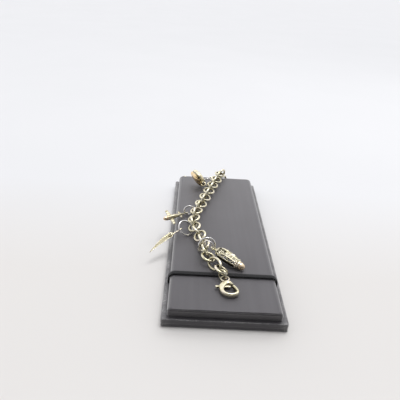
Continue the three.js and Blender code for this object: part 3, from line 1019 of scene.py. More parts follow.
@dataclass(frozen=True)
class Stand:
    """The board, its padded top and the elastic across it."""

    half_width: float
    half_length: float
    base_height: float
    pad_top: float
    pad_half_width: float
    pad_half_length: float
    elastic_y: float
    base_corner: float = 1.2
    base_edge: float = 0.45
    fold_height: float = 2.1
    pad_corner: float = 1.5
    crease_height: float = 0.80
    seam_height: float = 0.72
    side_round: float = 3.0
    side_drop: float = 3.0
    end_round: float = 0.5
    elastic_half_width: float = 1.6
    elastic_half_thickness: float = 0.5
    elastic_lift: float = 0.8

    @classmethod
    def measured(cls) -> Stand:
        """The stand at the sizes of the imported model's board, pad and elastic.

        Returns:
            The stand, its other sizes as they are listed.
        """
        base, pad, band = (node_points(n) for n in ("stand_base", "stand_pad", "elastic_band"))
        width, length, height = base.max(0)
        pad_width, pad_length, top = pad.max(0)
        middle = float(band[:, 1].max() + band[:, 1].min()) / 2
        return cls(width, length, height, top, pad_width, pad_length, middle)

    @staticmethod
    def outline(corner_steps: int = 12, side_steps: int = 40, long_steps: int = 110) -> Array:
        """The way round a board with round corners, free of its size.

        Args:
            corner_steps: Steps round each corner.
            side_steps: Steps along each end.
            long_steps: Steps along each side.

        Returns:
            Four numbers a point: the shares of the half width and the half length to the middle
            of the corner's arc, and the way out there. The point itself is the first two, times
            the half sizes less the corner's radius, plus the last two times that radius.
        """
        rows = []
        corners = [(1, -1, -90), (1, 1, 0), (-1, 1, 90), (-1, -1, 180)]
        for k, (sx, sy, start) in enumerate(corners):
            angle = np.radians(np.linspace(start, start + 90, corner_steps + 1))
            ones = np.ones_like(angle)
            rows.append(np.stack([sx * ones, sy * ones, np.cos(angle), np.sin(angle)], 1))
            nx, ny, _ = corners[(k + 1) % 4]
            steps = long_steps if sx == nx else side_steps
            share = np.linspace(0, 1, steps + 1)[1:-1]
            out = np.broadcast_to([np.cos(angle[-1]), np.sin(angle[-1])], (len(share), 2))
            rows.append(np.column_stack([sx + (nx - sx) * share, sy + (ny - sy) * share, out]))
        return np.vstack(rows)

    @staticmethod
    def rows(outline: Array, half_width: Array, half_length: Array, corner: Array, z: Array) -> Array:
        """A grid of board outlines, one a row, each with its own half sizes, corner and height.

        Args:
            outline: The way round, as outline gives it.
            half_width: Half the width of each row.
            half_length: Half the length of each row.
            corner: The corner's radius in each row.
            z: The height of each row.

        Returns:
            The grid of points.
        """
        hw, hl, c = (np.asarray(a, float)[:, None] for a in (half_width, half_length, corner))
        x = outline[:, 0] * (hw - c) + outline[:, 2] * c
        y = outline[:, 1] * (hl - c) + outline[:, 3] * c
        return np.stack([x, y, np.broadcast_to(np.asarray(z, float)[:, None], x.shape)], 2)

    def base(self) -> Shell:
        """The covered board: a soft-edged slab, its cover turned under along a fold round it.

        Rows of outlines go from the underside up the side and in over the top, each drawn in by
        its inset. At both brims the inset is a quarter circle, and on the side it is a small
        hump at the fold with a step under it. The product of two slow sines of X and Y loosens
        the cover. It is rubbed paler at the brims and the corners, the ledge is paler, partly
        rubbed and partly painted light, more on the left, and the ends are in painted shade.

        Returns:
            The board's surface.
        """
        outline, edge, height = self.outline(), self.base_edge, self.base_height
        arc = np.radians(np.linspace(0, 90, 6))
        side = np.linspace(edge, height - edge, 26)[1:-1]
        top = np.array([1.0, 1.8, 2.6, 3.6, 4.6, 6.0, 12.0, 30.0])
        inset = np.concatenate([
            [3.0, 1.2], edge * (1 - np.sin(arc)),
            0.16 * bell(side, self.fold_height, 0.16) + 0.10 * (side < self.fold_height),
            edge * (1 - np.cos(arc)), top,
        ])
        z = np.concatenate([
            [0.0, 0.0], edge * (1 - np.cos(arc)), side, height - edge * (1 - np.sin(arc)),
            np.full(len(top), height),
        ])
        corner = np.maximum(self.base_corner - inset, 0.0)
        grid = self.rows(outline, self.half_width - inset, self.half_length - inset, corner, z)
        x, y = grid[..., 0], grid[..., 1]
        wave = 0.05 * np.sin(x / 5.3) * np.sin(y / 6.1 + 1) * ((z > 1) & (z < 5))[:, None]
        grid[..., :2] *= 1 - np.abs(wave[..., None]) / 60
        from_corner = self.half_length - np.abs(y) + self.half_width - np.abs(x)
        corners = np.exp(-from_corner / 3.0) + 0.4 * np.abs(outline[:, 2] * outline[:, 3])
        brims = np.maximum(bell(z, height, 0.35), bell(z, 0.3, 0.3)) * (inset < 0.8)
        ledge = (inset < 4.0) & (z > height - 0.01)
        # The ledge beside the pad is paler, partly rubbed and partly painted light, more on the left.
        beside = np.clip((np.abs(x) - self.pad_half_width) / 2.0, 0, 1) * np.where(x < 0, 1.0, 0.55)
        wear = 0.8 * brims[:, None] + corners + ledge[:, None] * beside
        on_side = (inset < 0.7) & (z < height - 0.4)
        # Painted shade: the end faces are darker.
        wall_shade = 0.35 * np.abs(outline[:, 3]) ** 6 * on_side[:, None]
        return Shell.of_grid(grid, tone=np.clip(wear, 0, 1), painted_shade=wall_shade)

    def pad(self) -> Shell:
        """The padded top: square at its ends, rounded along its sides, creased along its ends.

        Rows of outlines go from the underside up the wall and in over the top. Along the sides
        the inset is a quarter of an ellipse over the upper wall. At the ends it is a small
        quarter circle, over a foot that shrinks as a power of the height. The end walls have a
        narrow crease over a wide seam, both humps of the height, and waver by two sines of X.
        The top dips by the product of two slow sines. The seam and the brim are rubbed paler,
        and the end walls and the left side's rounding are darker with painted shade.

        Returns:
            The pad's surface.
        """
        outline = self.outline(corner_steps=20)
        low, top = self.base_height, self.pad_top
        turn = np.radians(np.linspace(0, 90, 24))
        share = np.linspace(0, 1, 30)[:-1]
        wall = low + 0.05 + share * (top - self.end_round - low - 0.05)
        z = np.concatenate([[low, low], wall, top - self.end_round * (1 - np.sin(turn))])
        foot = (1 - share) ** 1.7
        in_y = np.concatenate([[3.0, 1.6], foot, self.end_round * (1 - np.cos(turn))])
        lift = np.clip((z - (top - self.side_drop)) / self.side_drop, 0, 1)
        in_x = self.side_round * (1 - np.sqrt(1 - lift**2))
        in_x[:2] = 3.0, 1.0
        flat = np.array([0.4, 0.8, 1.2, 2.0, 3.5, 5.5, 8.0, 11.0, 14.0, 18.0, 22.0, 25.8])
        in_x = np.concatenate([in_x, self.side_round + flat])
        in_y = np.concatenate([in_y, self.end_round + flat])
        z = np.concatenate([z, np.full(len(flat), top)])
        corner = np.minimum(self.pad_corner, self.pad_half_width - in_x - 0.2)
        grid = self.rows(outline, self.pad_half_width - in_x, self.pad_half_length - in_y, corner, z)
        x, y = grid[..., 0].copy(), grid[..., 1].copy()
        height = (z - low) / (top - low)
        end = np.abs(outline[:, 3]) ** 6
        end_wall = ((z > low + 0.01) & (z < top - 0.01))[:, None] * end
        seam = 0.10 * bell(height, self.seam_height, 0.07)
        crease = seam - 0.22 * bell(height, self.crease_height, 0.030)
        waver = 0.06 * np.sin(x / 4.7 + 0.6) + 0.03 * np.sin(x / 1.9)
        grid[..., :2] += ((crease[:, None] + waver) * end_wall)[..., None] * outline[:, 2:]
        dip = 0.05 * (1 + np.sin(x / 9.0) * np.sin(y / 13.0))
        grid[..., 2] -= dip * (z > top - 0.01)[:, None]
        wear_and_shade = 0.5 * bell(height, self.seam_height, 0.05) + 0.25 * bell(height, 0.99, 0.02)
        # Painted shade: the end walls are darker, more towards the bottom.
        wall_shade = (0.75 - 0.35 * height)[:, None] * end * (z < top - 0.3)[:, None]
        rounding = np.concatenate([np.sin(np.pi * lift**0.7), 0 * flat])
        # Painted shade: the left side's rounding is darker, which damps its highlight.
        wall_shade = wall_shade + 0.40 * rounding[:, None] * np.clip(-outline[:, 2], 0, 1) ** 4
        return Shell.of_grid(grid, tone=wear_and_shade[:, None] * end_wall, painted_shade=wall_shade)

    def elastic(self) -> Shell:
        """The band: a flat cord section carried over the pad from ledge to ledge.

        The route goes straight up beside the pad, then along an ellipse that keeps its distance
        from the pad's rounding, and straight across the top to the same on the other side. The
        section is a superellipse whose size ripples as a cosine, eleven times round.

        Returns:
            The band's surface.
        """
        lift = self.elastic_lift
        turn = np.radians(np.linspace(0, 90, 40))
        mid = self.pad_half_width - self.side_round
        rise = np.linspace(self.base_height + 0.3, self.pad_top - self.side_drop, 12)[:-1]
        x = np.concatenate([np.full(len(rise), self.pad_half_width + lift),
                            mid + (self.side_round + lift) * np.cos(turn)])
        shoulder = self.pad_top - self.side_drop
        z = np.concatenate([rise, shoulder + (self.side_drop + lift) * np.sin(turn)])
        across = np.linspace(mid, -mid, 120)[1:-1]
        x = np.concatenate([x, across, -x[::-1]])
        z = np.concatenate([z, np.full(len(across), z[-1]), z[::-1]])
        path = np.stack([x, np.full(len(x), self.elastic_y), z], 1)
        section = ellipse_section(self.elastic_half_thickness, self.elastic_half_width, 64, 3.2)
        section = section * (1 + 0.03 * np.cos(11 * around(64)))[:, None]
        return Shell.of_grid(sweep(path, section, np.array([0.0, 1.0, 0.0])))

    def build(self, shop: Workshop) -> None:
        """Makes and dresses the board, the pad and the elastic.

        Args:
            shop: The workshop that makes and dresses its pieces.
        """
        for name, shell, node in (
            ("covered_board", self.base(), "stand_base"), ("padded_top", self.pad(), "stand_pad"),
        ):
            shop.dress(shop.mesh(name, [shell], HERE), BOARD_COVER, node)
        band = shop.mesh("braided_elastic", [self.elastic()], HERE)
        shop.dress(band, BAND_WEAVE, "elastic_band")


# ---------------------------------------------------------------- chain and rings


@dataclass(frozen=True)
class Chain:
    """The belcher chain, the pieces at its clasp end and the ring at its far end."""

    link: RingForm = RingForm(4.35, 3.8, 1.66, inner_flat=0.08, seam=0.04)
    oval: RingForm = RingForm(5.3, 3.2, 1.68, inner_flat=0.05, seam=0.04)
    clasp_ring: RingForm = RingForm.round(6.85, 1.05)
    end_ring: RingForm = RingForm.round(7.5, 1.36, inner_flat=0.05, seam=0.04)
    count: int = 30

    def build(self, shop: Workshop) -> None:
        """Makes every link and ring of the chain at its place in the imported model.

        Args:
            shop: The workshop that makes and dresses its pieces.
        """
        forms = {f"chain_link_{k:02d}": self.link for k in range(1, self.count + 1)}
        forms |= {"clasp_link": self.link, "oval_link": self.oval, "clasp_ring": self.clasp_ring,
                  "end_ring": self.end_ring}
        for k, (node, form) in enumerate(forms.items()):
            piece = shop.mesh("polished_" + node, [form.shell(turn=math.pi * (0.5 + k % 2))],
                              ring_place(node))
            shop.dress(piece, PALE_GOLD, node)


@dataclass(frozen=True)
class JumpRing:
    """A cut ring of round wire that carries one charm or hangs on the chain."""

    node: str
    outer: float
    wire: float
    cut_at: float

    @property
    def form(self) -> RingForm:
        """The ring's wire, with a fine cut and ends that pass each other a little."""
        return RingForm.round(self.outer, self.wire, cut=0.14, lay=0.09, steps=120, sides=18)

    def place(self) -> Place:
        """The ring's frame: it faces the front, and its X runs as near right as it can.

        Returns:
            The frame, its origin at the ring's middle.
        """
        found = ring_place(self.node)
        normal = found.axes[2] * (-1.0 if found.axes[2][1] > 0 else 1.0)
        right = np.array([1.0, 0.0, 0.0])
        return Place.along(found.origin, right - (right @ normal) * normal, normal)

    def eye(self, degrees: float) -> tuple[Array, Array]:
        """The middle of the wire at an angle round the ring, and the way the wire runs there.

        Args:
            degrees: The angle round the ring from its X.

        Returns:
            The point and the wire's direction, in the model's frame.
        """
        turn = math.radians(degrees)
        radius = (self.outer - self.wire) / 2
        place = self.place()
        point = place.put(radius * np.array([math.cos(turn), math.sin(turn), 0.0]))
        return point, np.array([-math.sin(turn), math.cos(turn), 0.0]) @ place.axes

    def build(self, shop: Workshop) -> None:
        """Makes and dresses the ring.

        Args:
            shop: The workshop that makes and dresses its pieces.
        """
        wire = self.form.shell(math.radians(self.cut_at))
        piece = shop.mesh("wire_" + self.node, [wire], self.place())
        shop.dress(piece, BRIGHT_SILVER, self.node)


JUMP_RINGS = {
    "filigree": JumpRing("ring_filigree", 11.4, 1.0, 150),
    "small": JumpRing("ring_small", 6.7, 0.8, 60),
    "leaf": JumpRing("ring_leaf", 11.25, 1.08, 100),
    "plane": JumpRing("ring_plane", 8.4, 1.0, 80),
    "locket": JumpRing("ring_locket", 8.4, 1.0, 110),
}


# ---------------------------------------------------------------- clasp


@dataclass(frozen=True)
class Clasp:
    """The lobster clasp: its hook, the slot with the pin in it, its eye and its lever.

    Its own frame has the eye at the origin, X towards the bend and Z up, and it lies on the pad.
    """

    eye_at: tuple[float, float, float] = (0.7, -61.1, 11.6)
    heading: tuple[float, float, float] = (0.264, -0.9645, 0.0)
    half_thickness: float = 1.35
    middle: float = 1.35
    eye_height: float = 1.6
    pivot: tuple[float, float] = (5.6, -3.2)
    pin_radius: float = 0.5
    hole_radius: float = 0.72
    # The slot's corners, as X and Y, and its half height.
    slot: tuple[tuple[float, float], ...] = ((3.4, -7.5), (8.2, -7.5), (8.2, 0.6), (3.4, 0.6))
    slot_half: float = 0.75
    # The lever from its thumb knob through the hub to the gate: X, Y, half width, half height.
    lever_route: tuple[tuple[float, float, float, float], ...] = (
        (5.5, -7.0, 0.90, 0.78), (5.5, -6.3, 0.84, 0.70), (5.54, -5.4, 0.66, 0.45),
        (5.58, -4.2, 1.15, 0.45), (5.6, -3.2, 1.55, 0.45), (5.85, -2.2, 1.4, 0.45),
        (6.25, -1.1, 1.12, 0.45), (6.6, -0.1, 0.95, 0.45), (6.88, 0.75, 0.80, 0.45),
    )
    # From the hook's tip round the bend and the tail to the mouth: X and Y of the outer side,
    # then of the inner.
    sides: tuple[tuple[float, float, float, float], ...] = (
        (7.5, 3.42, 7.55, 1.8), (8.7, 3.78, 8.7, 2.1), (9.9, 4.08, 9.8, 2.36),
        (11.0, 4.22, 10.8, 2.62), (12.3, 4.18, 11.85, 2.68), (13.4, 3.8, 12.7, 2.32),
        (14.4, 3.0, 13.2, 1.6), (15.0, 2.0, 13.45, 0.85), (15.28, 0.8, 13.5, 0.0),
        (15.3, -0.4, 13.45, -0.85), (15.0, -1.8, 13.15, -1.8), (14.5, -3.1, 12.6, -2.75),
        (13.6, -4.3, 11.7, -3.5), (12.3, -5.3, 10.7, -3.75), (10.9, -5.9, 9.75, -3.72),
        (9.2, -6.1, 8.9, -3.48), (7.6, -5.98, 8.0, -3.0), (6.0, -5.6, 7.1, -2.35),
        (4.5, -4.9, 6.3, -1.6), (3.2, -3.9, 5.65, -0.85), (2.25, -2.5, 5.3, -0.2),
        (1.62, -1.1, 5.2, 0.25), (1.6, 0.1, 5.22, 0.52), (2.0, 1.25, 5.38, 0.82),
        (3.0, 2.1, 5.62, 1.08), (4.2, 2.55, 5.85, 1.25), (5.2, 2.82, 6.02, 1.38),
        (6.05, 3.05, 6.15, 1.48),
    )

    def place(self) -> Place:
        """The clasp's frame in the model."""
        return Place.along(np.array(self.eye_at), np.array(self.heading), np.array([0.0, 0.0, 1.0]))

    def hook(self) -> Shell:
        """The hook and its broad tail.

        A row's section is a superellipse between the outer and the inner side of the hook: its
        wide way runs from one to the other and its high way is the clasp's thickness.

        Returns:
            The hook's surface.
        """
        rows = through(self.sides, 150)
        out, size = dome(7, 0.95)
        outer, inner = (longer(side, 0.32 * out) for side in (rows[:, :2], rows[:, 2:]))
        size = np.concatenate([size[::-1], np.ones(len(rows)), size])
        middle, half = (outer + inner) / 2, (outer - inner) / 2 * size[:, None]
        share = np.linspace(0, 1, len(size))
        high = self.half_thickness * size * (0.92 + 0.08 * np.clip(share / 0.55, 0, 1))
        v = around(44)
        across, up = signed_power(np.cos(v), 0.78), signed_power(np.sin(v), 0.74)
        flat = middle[:, None] + half[:, None] * across[None, :, None]
        lifted = self.middle + high[:, None] * up[None]
        # Painted shade: the hook's inner side is darkened.
        inner_side = np.broadcast_to(((1 - np.cos(v)) / 2) ** 3 * 0.8, lifted.shape)
        return Shell.of_grid(np.dstack([flat, lifted]), painted_shade=inner_side)

    def pin(self) -> Shell:
        """The hinge pin with a low domed head at each face: a turned form, its axis along Z.

        Returns:
            The pin's surface.
        """
        head = [(0.0, 0.25), (0.04, 0.5), (0.12, 0.68), (0.3, 0.72), (0.3, self.pin_radius)]
        far = [(2 * self.middle - z, radius) for z, radius in reversed(head)]
        z, radius = np.array(head + far).T[:, :, None]
        v = around(32)
        return Shell.of_grid(np.stack([
            self.pivot[0] + radius * np.cos(v), self.pivot[1] + radius * np.sin(v),
            np.repeat(z, len(v), 1),
        ], 2))

    def lever(self) -> Shell:
        """The lever: a bar from the thumb knob through the hub to the gate, wide at the hub.

        Its section is a superellipse whose half width and half height follow the route's rows.

        Returns:
            The lever's surface.
        """
        rows = through(self.lever_route, 90)
        path, size = round_ends(np.column_stack([rows[:, :2], np.full(len(rows), self.middle)]), 0.6)
        pad = (len(path) - len(rows)) // 2
        wide, high = (np.pad(column, pad, mode="edge") * size for column in rows[:, 2:].T)
        v = around(32)
        section = np.stack([wide[:, None] * signed_power(np.cos(v), 0.7),
                            high[:, None] * signed_power(np.sin(v), 0.55)], 2)
        # Painted shade: the lever is darkened and dulled from the hub to the gate.
        dull_and_shade = 0.55 * np.clip((path[:, 1:2] + 5.6) / 1.2, 0, 1)
        return Shell.of_grid(sweep(path, section, np.array([0.0, 0.0, 1.0])), painted_shade=dull_and_shade)

    def build(self, shop: Workshop) -> None:
        """Makes the clasp's body, with its slot cut, and its lever, with its hole cut.

        Args:
            shop: The workshop that makes and dresses its pieces.
        """
        place = self.place()
        body = shop.mesh("polished_clasp_body", [self.hook()], place)
        low, high = self.middle - self.slot_half, self.middle + self.slot_half
        shop.cut_away(body, [prism(np.array(self.slot), low, high)], place)
        eye = RingForm.round(5.6, 1.1).shell().moved(np.eye(3), (0, 0, self.eye_height))
        both = [body, shop.mesh("clasp_pin_and_eye", [self.pin(), eye], place)]
        with bpy.context.temp_override(active_object=body, selected_objects=both,
                                       selected_editable_objects=both):
            bpy.ops.object.join()
        shop.dress(body, PALE_GOLD, "clasp_body")
        lever = shop.mesh("polished_clasp_lever", [self.lever()], place)
        v = around(28)
        hole = np.array(self.pivot) + self.hole_radius * np.stack([np.cos(v), np.sin(v)], 1)
        shop.cut_away(lever, [prism(hole, 0.2, 2.5)], place)
        shop.dress(lever, PALE_GOLD, "clasp_lever", Body.LEVER)


# ---------------------------------------------------------------- charms


@dataclass(frozen=True)
class Charm:
    """A charm whose eye sits round the wire of its jump ring.

    Its own frame has the eye at the origin and X along its length, towards its tip.
    """

    node: str
    ring: JumpRing
    angle: float
    tip: tuple[float, float, float]
    up: tuple[float, float, float]
    metal: MetalFinish = PALE_GOLD

    def place(self) -> Place:
        """The charm's frame in the model."""
        eye, _ = self.ring.eye(self.angle)
        return Place.along(eye, np.array(self.tip) - eye, np.array(self.up))

    def eyelet(self, outer: float, wire: float) -> Shell:
        """The charm's eye, turned about the charm's length to face along the ring's wire.

        Args:
            outer: The eye's size over its outside.
            wire: The thickness of its wire.

        Returns:
            The eye's surface.
        """
        _, run = self.ring.eye(self.angle)
        wire_way = self.place().inside(run)
        turn = math.atan2(-wire_way[1], wire_way[2])
        return RingForm.round(outer, wire, steps=48, sides=16).shell().moved(about_x(turn))

    def shells(self) -> list[Shell]:
        """The charm's surfaces in its own frame."""
        raise NotImplementedError

    def build(self, shop: Workshop) -> None:
        """Makes and dresses the charm."""
        piece = shop.mesh("cast_" + self.node, self.shells(), self.place())
        shop.dress(piece, self.metal, self.node)


@dataclass(frozen=True)
class FiligreeDrop(Charm):
    """A hollow slipper-shaped drop: a chased crown, openwork walls, a sole in painted shade, a round
    toe.

    Angles round it are in degrees, zero to the charm's left and 90 on top. Of each pair of
    middles and spreads the spread is the angle from the middle to either edge.
    """

    # Along the drop: the place, the middle's Y and Z, half the width and half the height.
    sections: tuple[tuple[float, float, float, float, float], ...] = (
        (1.9, 0, 0.0, 0.9, 0.9), (3.0, 0, 0.0, 2.4, 2.2), (6.0, 0, 0.0, 3.7, 3.2),
        (10.5, 0, -0.1, 4.0, 3.3), (15, 0, -0.5, 3.6, 3.0), (18.4, 0, -0.8, 2.9, 2.5),
        (20.8, 0, -0.9, 2.5, 2.2), (22.8, 0, -1.0, 1.8, 1.6), (23.7, 0, -1.0, 0.7, 0.7),
    )
    crown_spread: float = 29.0
    wall_middles: tuple[float, ...] = (138.0, 42.0)
    wall_spread: float = 20.0
    wall_reach: tuple[float, float] = (5.4, 17.8)
    zigzag_step: float = 2.9
    sole_middles: tuple[float, ...] = (206.0, 334.0)
    sole_spread: float = 42.0
    ribs: tuple[float, ...] = (6.5, 10.25, 13.75, 17.2)
    # Rings right round the drop: the place and the wire's radius.
    hoops: tuple[tuple[float, float], ...] = ((3.7, 0.5), (17.7, 0.36), (19.3, 0.5))
    # Curls inside the mouth: the place along and the angle.
    curls: tuple[tuple[float, float], ...] = ((5.2, 100.0), (6.8, 76.0), (7.4, 112.0))
    collar: float = 18.5
    toe_groove: float = 20.4

    def girth(self, x: Array) -> Array:
        """The middle's Y and Z, half the width and half the height at places along the drop."""
        table = through(self.sections, 400)
        return np.stack([np.interp(x, table[:, 0], table[:, k]) for k in range(1, 5)])

    def wall(self, x: Array | float, turn: Array | float, depth: Array | float = 0.0) -> Array:
        """Points on the drop's skin.

        The skin is an ellipse at each place along the drop. Its half width and half height and
        its middle run smoothly through the listed sections, and depth is added to both halves.

        Args:
            x: Places along the drop.
            turn: Angles round it in radians.
            depth: How far out of the skin the points lie.

        Returns:
            The points, one more dimension than the broadcast inputs.
        """
        x, turn, depth = np.broadcast_arrays(x, turn, depth)
        y0, z0, wide, high = self.girth(x)
        return np.stack([x, y0 + (wide + depth) * np.cos(turn), z0 + (high + depth) * np.sin(turn)], -1)

    def wire(self, x: Array, turn: Array, radius: float, sink: float = 0.0) -> Shell:
        """A round wire laid in the drop's wall, or sunk under it, along places and angles."""
        out = np.stack([np.zeros_like(turn), np.cos(turn), np.sin(turn)], 1)
        return bar(self.wall(x, turn, -radius - sink), radius, radius, out, 12)

    def hoop(self, at: float, radius: float) -> Shell:
        """A round wire that goes right round the drop in its wall.

        Args:
            at: Its place along the drop.
            radius: The wire's radius.

        Returns:
            The hoop's surface.
        """
        turn = around(48)
        out = np.stack([np.zeros_like(turn), np.cos(turn), np.sin(turn)], 1)
        path = self.wall(at, turn, -radius)
        return Shell.of_grid(sweep(path, ellipse_section(radius, radius, 12), out, True), loop=True)

    @staticmethod
    def mouth(turn: Array | float) -> Array:
        """Where the open mouth ends at an angle round the drop: furthest along on top."""
        share = np.clip((turn - math.radians(30)) / math.radians(120), 0, 1)
        return 4.4 + 5.8 * np.sin(np.pi * share) ** 0.7

    def crown(self) -> Shell:
        """The smooth strap over the top, from the mouth to the collar.

        Each row goes once round a flat section that spans the strap's width, and starts where
        the mouth ends at its own angle. Ridges run along it, a cosine of the share across, and fine
        chased waves cross them. Painted shade darkens and dulls it but for the ridges, and is
        lifted along its two edges, which are painted highlights.

        Returns:
            The crown's surface.
        """
        v = around(64)
        across, out = signed_power(np.cos(v), 0.55), signed_power(np.sin(v), 0.5)
        turn = math.radians(90) + math.radians(self.crown_spread) * across
        start = self.mouth(turn)
        x = start + (18.6 - start) * np.linspace(0, 1, 60)[:, None]
        ridges = (0.5 + 0.5 * np.cos(3 * np.pi * across)) * (out > 0)
        chased = 0.5 + 0.5 * np.sin(3.1 * x + 5.0 * np.abs(across))
        depth = 0.4 * (out - 1) + 0.20 * (ridges - 1) * (out > 0) - 0.07 * chased * ridges
        # Painted shade over the crown, less on the ridges; its edges are left bright as painted
        # highlights.
        dull_and_shade = np.maximum(np.clip(-out, 0, 1), 1.0 - 0.30 * ridges) + 0.15 * chased
        edges = (1 - 0.75 * bell(across, 0.92, 0.16)) * (1 - 0.6 * bell(across, -0.92, 0.16))
        return Shell.of_grid(self.wall(x, turn, depth), painted_shade=np.clip(dull_and_shade * edges, 0, 1))

    def openwork(self, side: float) -> list[Shell]:
        """The openwork of one wall: two rails, a thick zigzag between them and a bead a gap.

        The zigzag is a triangle wave of the place along, the arcsine of a sine.

        Args:
            side: The angle of the wall's middle, in degrees.

        Returns:
            The rails, the zigzag and the beads.
        """
        middle, reach = math.radians(side), math.radians(self.wall_spread)
        start, step = self.wall_reach[0], self.zigzag_step
        x = np.linspace(*self.wall_reach, 120)
        swing = 2 / np.pi * np.arcsin(np.sin(np.pi * (x - start) / step - np.pi / 2))
        shells = [self.wire(x, np.full(len(x), middle + edge * reach), 0.30) for edge in (-1, 1)]
        shells.append(self.wire(x, middle + reach * swing, 0.32))
        for k, at in enumerate(np.arange(start + step, self.ribs[-1], step)):
            lean = 0.9 if k % 2 else -0.9
            shells.append(bead(self.wall(at, middle + lean * reach, -0.25), 0.5, 8))
        return shells

    def sole(self) -> list[Shell]:
        """Two straps under the drop and the ribs that part their windows, darkened with painted shade.

        Returns:
            The straps, then the ribs.
        """
        x, v = np.linspace(3.6, 19.0, 60)[:, None], around(28)
        across, out = signed_power(np.cos(v), 0.5), signed_power(np.sin(v), 0.6)
        turns = (math.radians(m) + math.radians(self.sole_spread) * across for m in self.sole_middles)
        # Painted shade: the straps and the ribs under the drop are darkened.
        straps = [Shell.of_grid(self.wall(x, turn, 0.35 * (out - 1)), painted_shade=2.0) for turn in turns]
        rib_turn = np.radians(np.linspace(240, 300, 30))
        return straps + [self.wire(np.full(30, at), rib_turn, 0.4).wear_and_shade(1.0) for at in self.ribs]

    def shade_inside(self, shell: Shell) -> Shell:
        """The same surface, darkened with painted shade the deeper it lies inside the drop's skin.

        Args:
            shell: A surface in the drop's own frame.

        Returns:
            The surface with deeper painted shade.
        """
        x, y, z = shell.points.T
        y0, z0, wide, high = self.girth(x)
        depth = 1 - np.hypot((y - y0) / wide, (z - z0) / high)
        inside = (x > 3.6) & (x < 18.6)
        dark = 1.7 * np.clip((depth - 0.06) / 0.16, 0, 1) * inside
        return replace(shell, painted_shade=np.maximum(shell.painted_shade, dark))

    def end(self, low: float, high: float, cap: float) -> Shell:
        """The closed skin between two places; with a cap of 1 a groove parts off its rosy end.

        Args:
            low: Where it starts along the drop.
            high: Where it ends.
            cap: 1 for the toe, 0 for the heel.

        Returns:
            The end's surface.
        """
        table = through(self.sections, 400)
        x, y0, z0, wide, tall = table[(table[:, 0] >= low) & (table[:, 0] <= high)].T[:, :, None]
        v = around(48)
        groove = 1 - 0.12 * bell(x, self.toe_groove, 0.16)
        grid = np.stack([
            np.repeat(x, len(v), 1), y0 + wide * groove * np.cos(v), z0 + tall * groove * np.sin(v),
        ], 2)
        rose = cap * np.clip((x - self.toe_groove) / 0.3, 0, 1)
        # Painted shade: the underside and the toe's groove are darkened.
        under = 0.12 + 1.4 * np.clip(-1.3 * np.sin(v - math.radians(18)), 0, 1)
        return Shell.of_grid(grid, tone=rose, painted_shade=np.maximum(under, (1 - groove) * 8 * cap))

    def shells(self) -> list[Shell]:
        """The crown, the walls, the sole, hoops, the beaded collar, the mouth, the ends, the eye.

        Returns:
            Their surfaces in the charm's own frame.
        """
        made = [self.crown()]
        for side in self.wall_middles:
            made += self.openwork(side)
        made += self.sole()
        made += [self.hoop(at, radius) for at, radius in self.hoops]
        made += [bead(self.wall(self.collar, turn, -0.15), 0.56, 8) for turn in around(13)]
        arch = np.radians(np.linspace(30, 150, 60))
        made.append(self.wire(self.mouth(arch), arch, 0.44))
        for turn in np.radians(np.linspace(44, 136, 9)):
            made.append(bead(self.wall(self.mouth(turn) - 0.75, turn, -0.2), 0.30, 8))
        t = np.linspace(0, 1.7 * np.pi, 40)
        curls = [self.wire(at + 0.9 * np.cos(t), np.radians(side) + 0.9 * np.sin(t) / 3.4, 0.24, 0.8)
                 for at, side in self.curls]
        ends = [self.end(1.9, 4.0, 0.0), self.end(19.2, 23.7, 1.0)]
        # Painted shade: all but the curls, the ends and the eye are darkened by their depth inside the
        # skin.
        return [*(self.shade_inside(shell) for shell in made), *curls, *ends, self.eyelet(4.4, 1.0)]


@dataclass(frozen=True)
class LeafDrop(Charm):
    """A long slender leaf, folded along its midrib, with a curled wire at its shoulder."""

    length: float = 26.5
    bow: float = 1.3
    curl_at: float = 7.4
    # Along the blade: the place, half the width and half the thickness.
    sections: tuple[tuple[float, float, float], ...] = (
        (4.0, 0.45, 0.45), (5.2, 0.6, 0.5), (6.5, 1.45, 0.55), (9.0, 2.0, 0.6), (12.5, 1.9, 0.6),
        (17, 1.4, 0.52), (22, 0.8, 0.4), (25.2, 0.4, 0.28), (26.5, 0.1, 0.12),
    )

    def sag(self, x: Array | float) -> Array:
        """How far the leaf's line bows to its right at a place along it."""
        return -self.bow * np.sin(np.pi * x / self.length)

    def blade(self) -> Shell:
        """The blade.

        Across it each half rises to its edge, the midrib stands along the fold, and side veins
        run out from it as fine waves of the place along, less a share of the distance out.

        Returns:
            The blade's surface.
        """
        x, wide, high = through(self.sections, 220).T[:, :, None]
        v = around(56)
        across, up = np.cos(v), np.sin(v)
        edge = np.abs(across)
        veins = 0.055 * np.sin(3.6 * x - 3.2 * edge) * (up > 0) * np.sin(np.pi * edge)
        rib = 0.16 * bell(across, 0, 0.13) * (up > 0)
        z = high * signed_power(up, 0.8) * (1 - 0.55 * edge**2) + 0.42 * wide * (edge**1.4 - 0.4)
        z = z + (veins + rib) * np.clip(wide / 1.2, 0, 1)
        grid = np.stack([np.repeat(x, 56, 1), self.sag(x) + wide * across, z], 2)
        # Painted shade: the underside is darker, and a band near the midrib on the upper face.
        return Shell.of_grid(grid, painted_shade=0.6 * (up < 0) + 0.95 * (up > 0) * bell(edge, 0.25, 0.38))

    def shells(self) -> list[Shell]:
        """The stem, the blade, the curl over it with its end bead, and the eye.

        Returns:
            Their surfaces in the charm's own frame.
        """
        stem_x = np.linspace(1.6, 6.0, 20)
        stem = np.stack([stem_x, self.sag(stem_x), 0 * stem_x], 1)
        t = np.linspace(0, 2.35 * np.pi, 90)
        radius = 1.7 * (1 - t / 11.5)
        curl = np.stack([self.curl_at + radius * np.cos(t + 2.6),
                         self.sag(self.curl_at) + radius * np.sin(t + 2.6), 0.75 + 0.07 * t], 1)
        up = np.array([0, 0, 1.0])
        return [bar(stem, 0.45, 0.45, up), self.blade(), bar(curl, 0.38, 0.38, up),
                bead(curl[-1], 0.55, 10), self.eyelet(3.8, 0.8)]


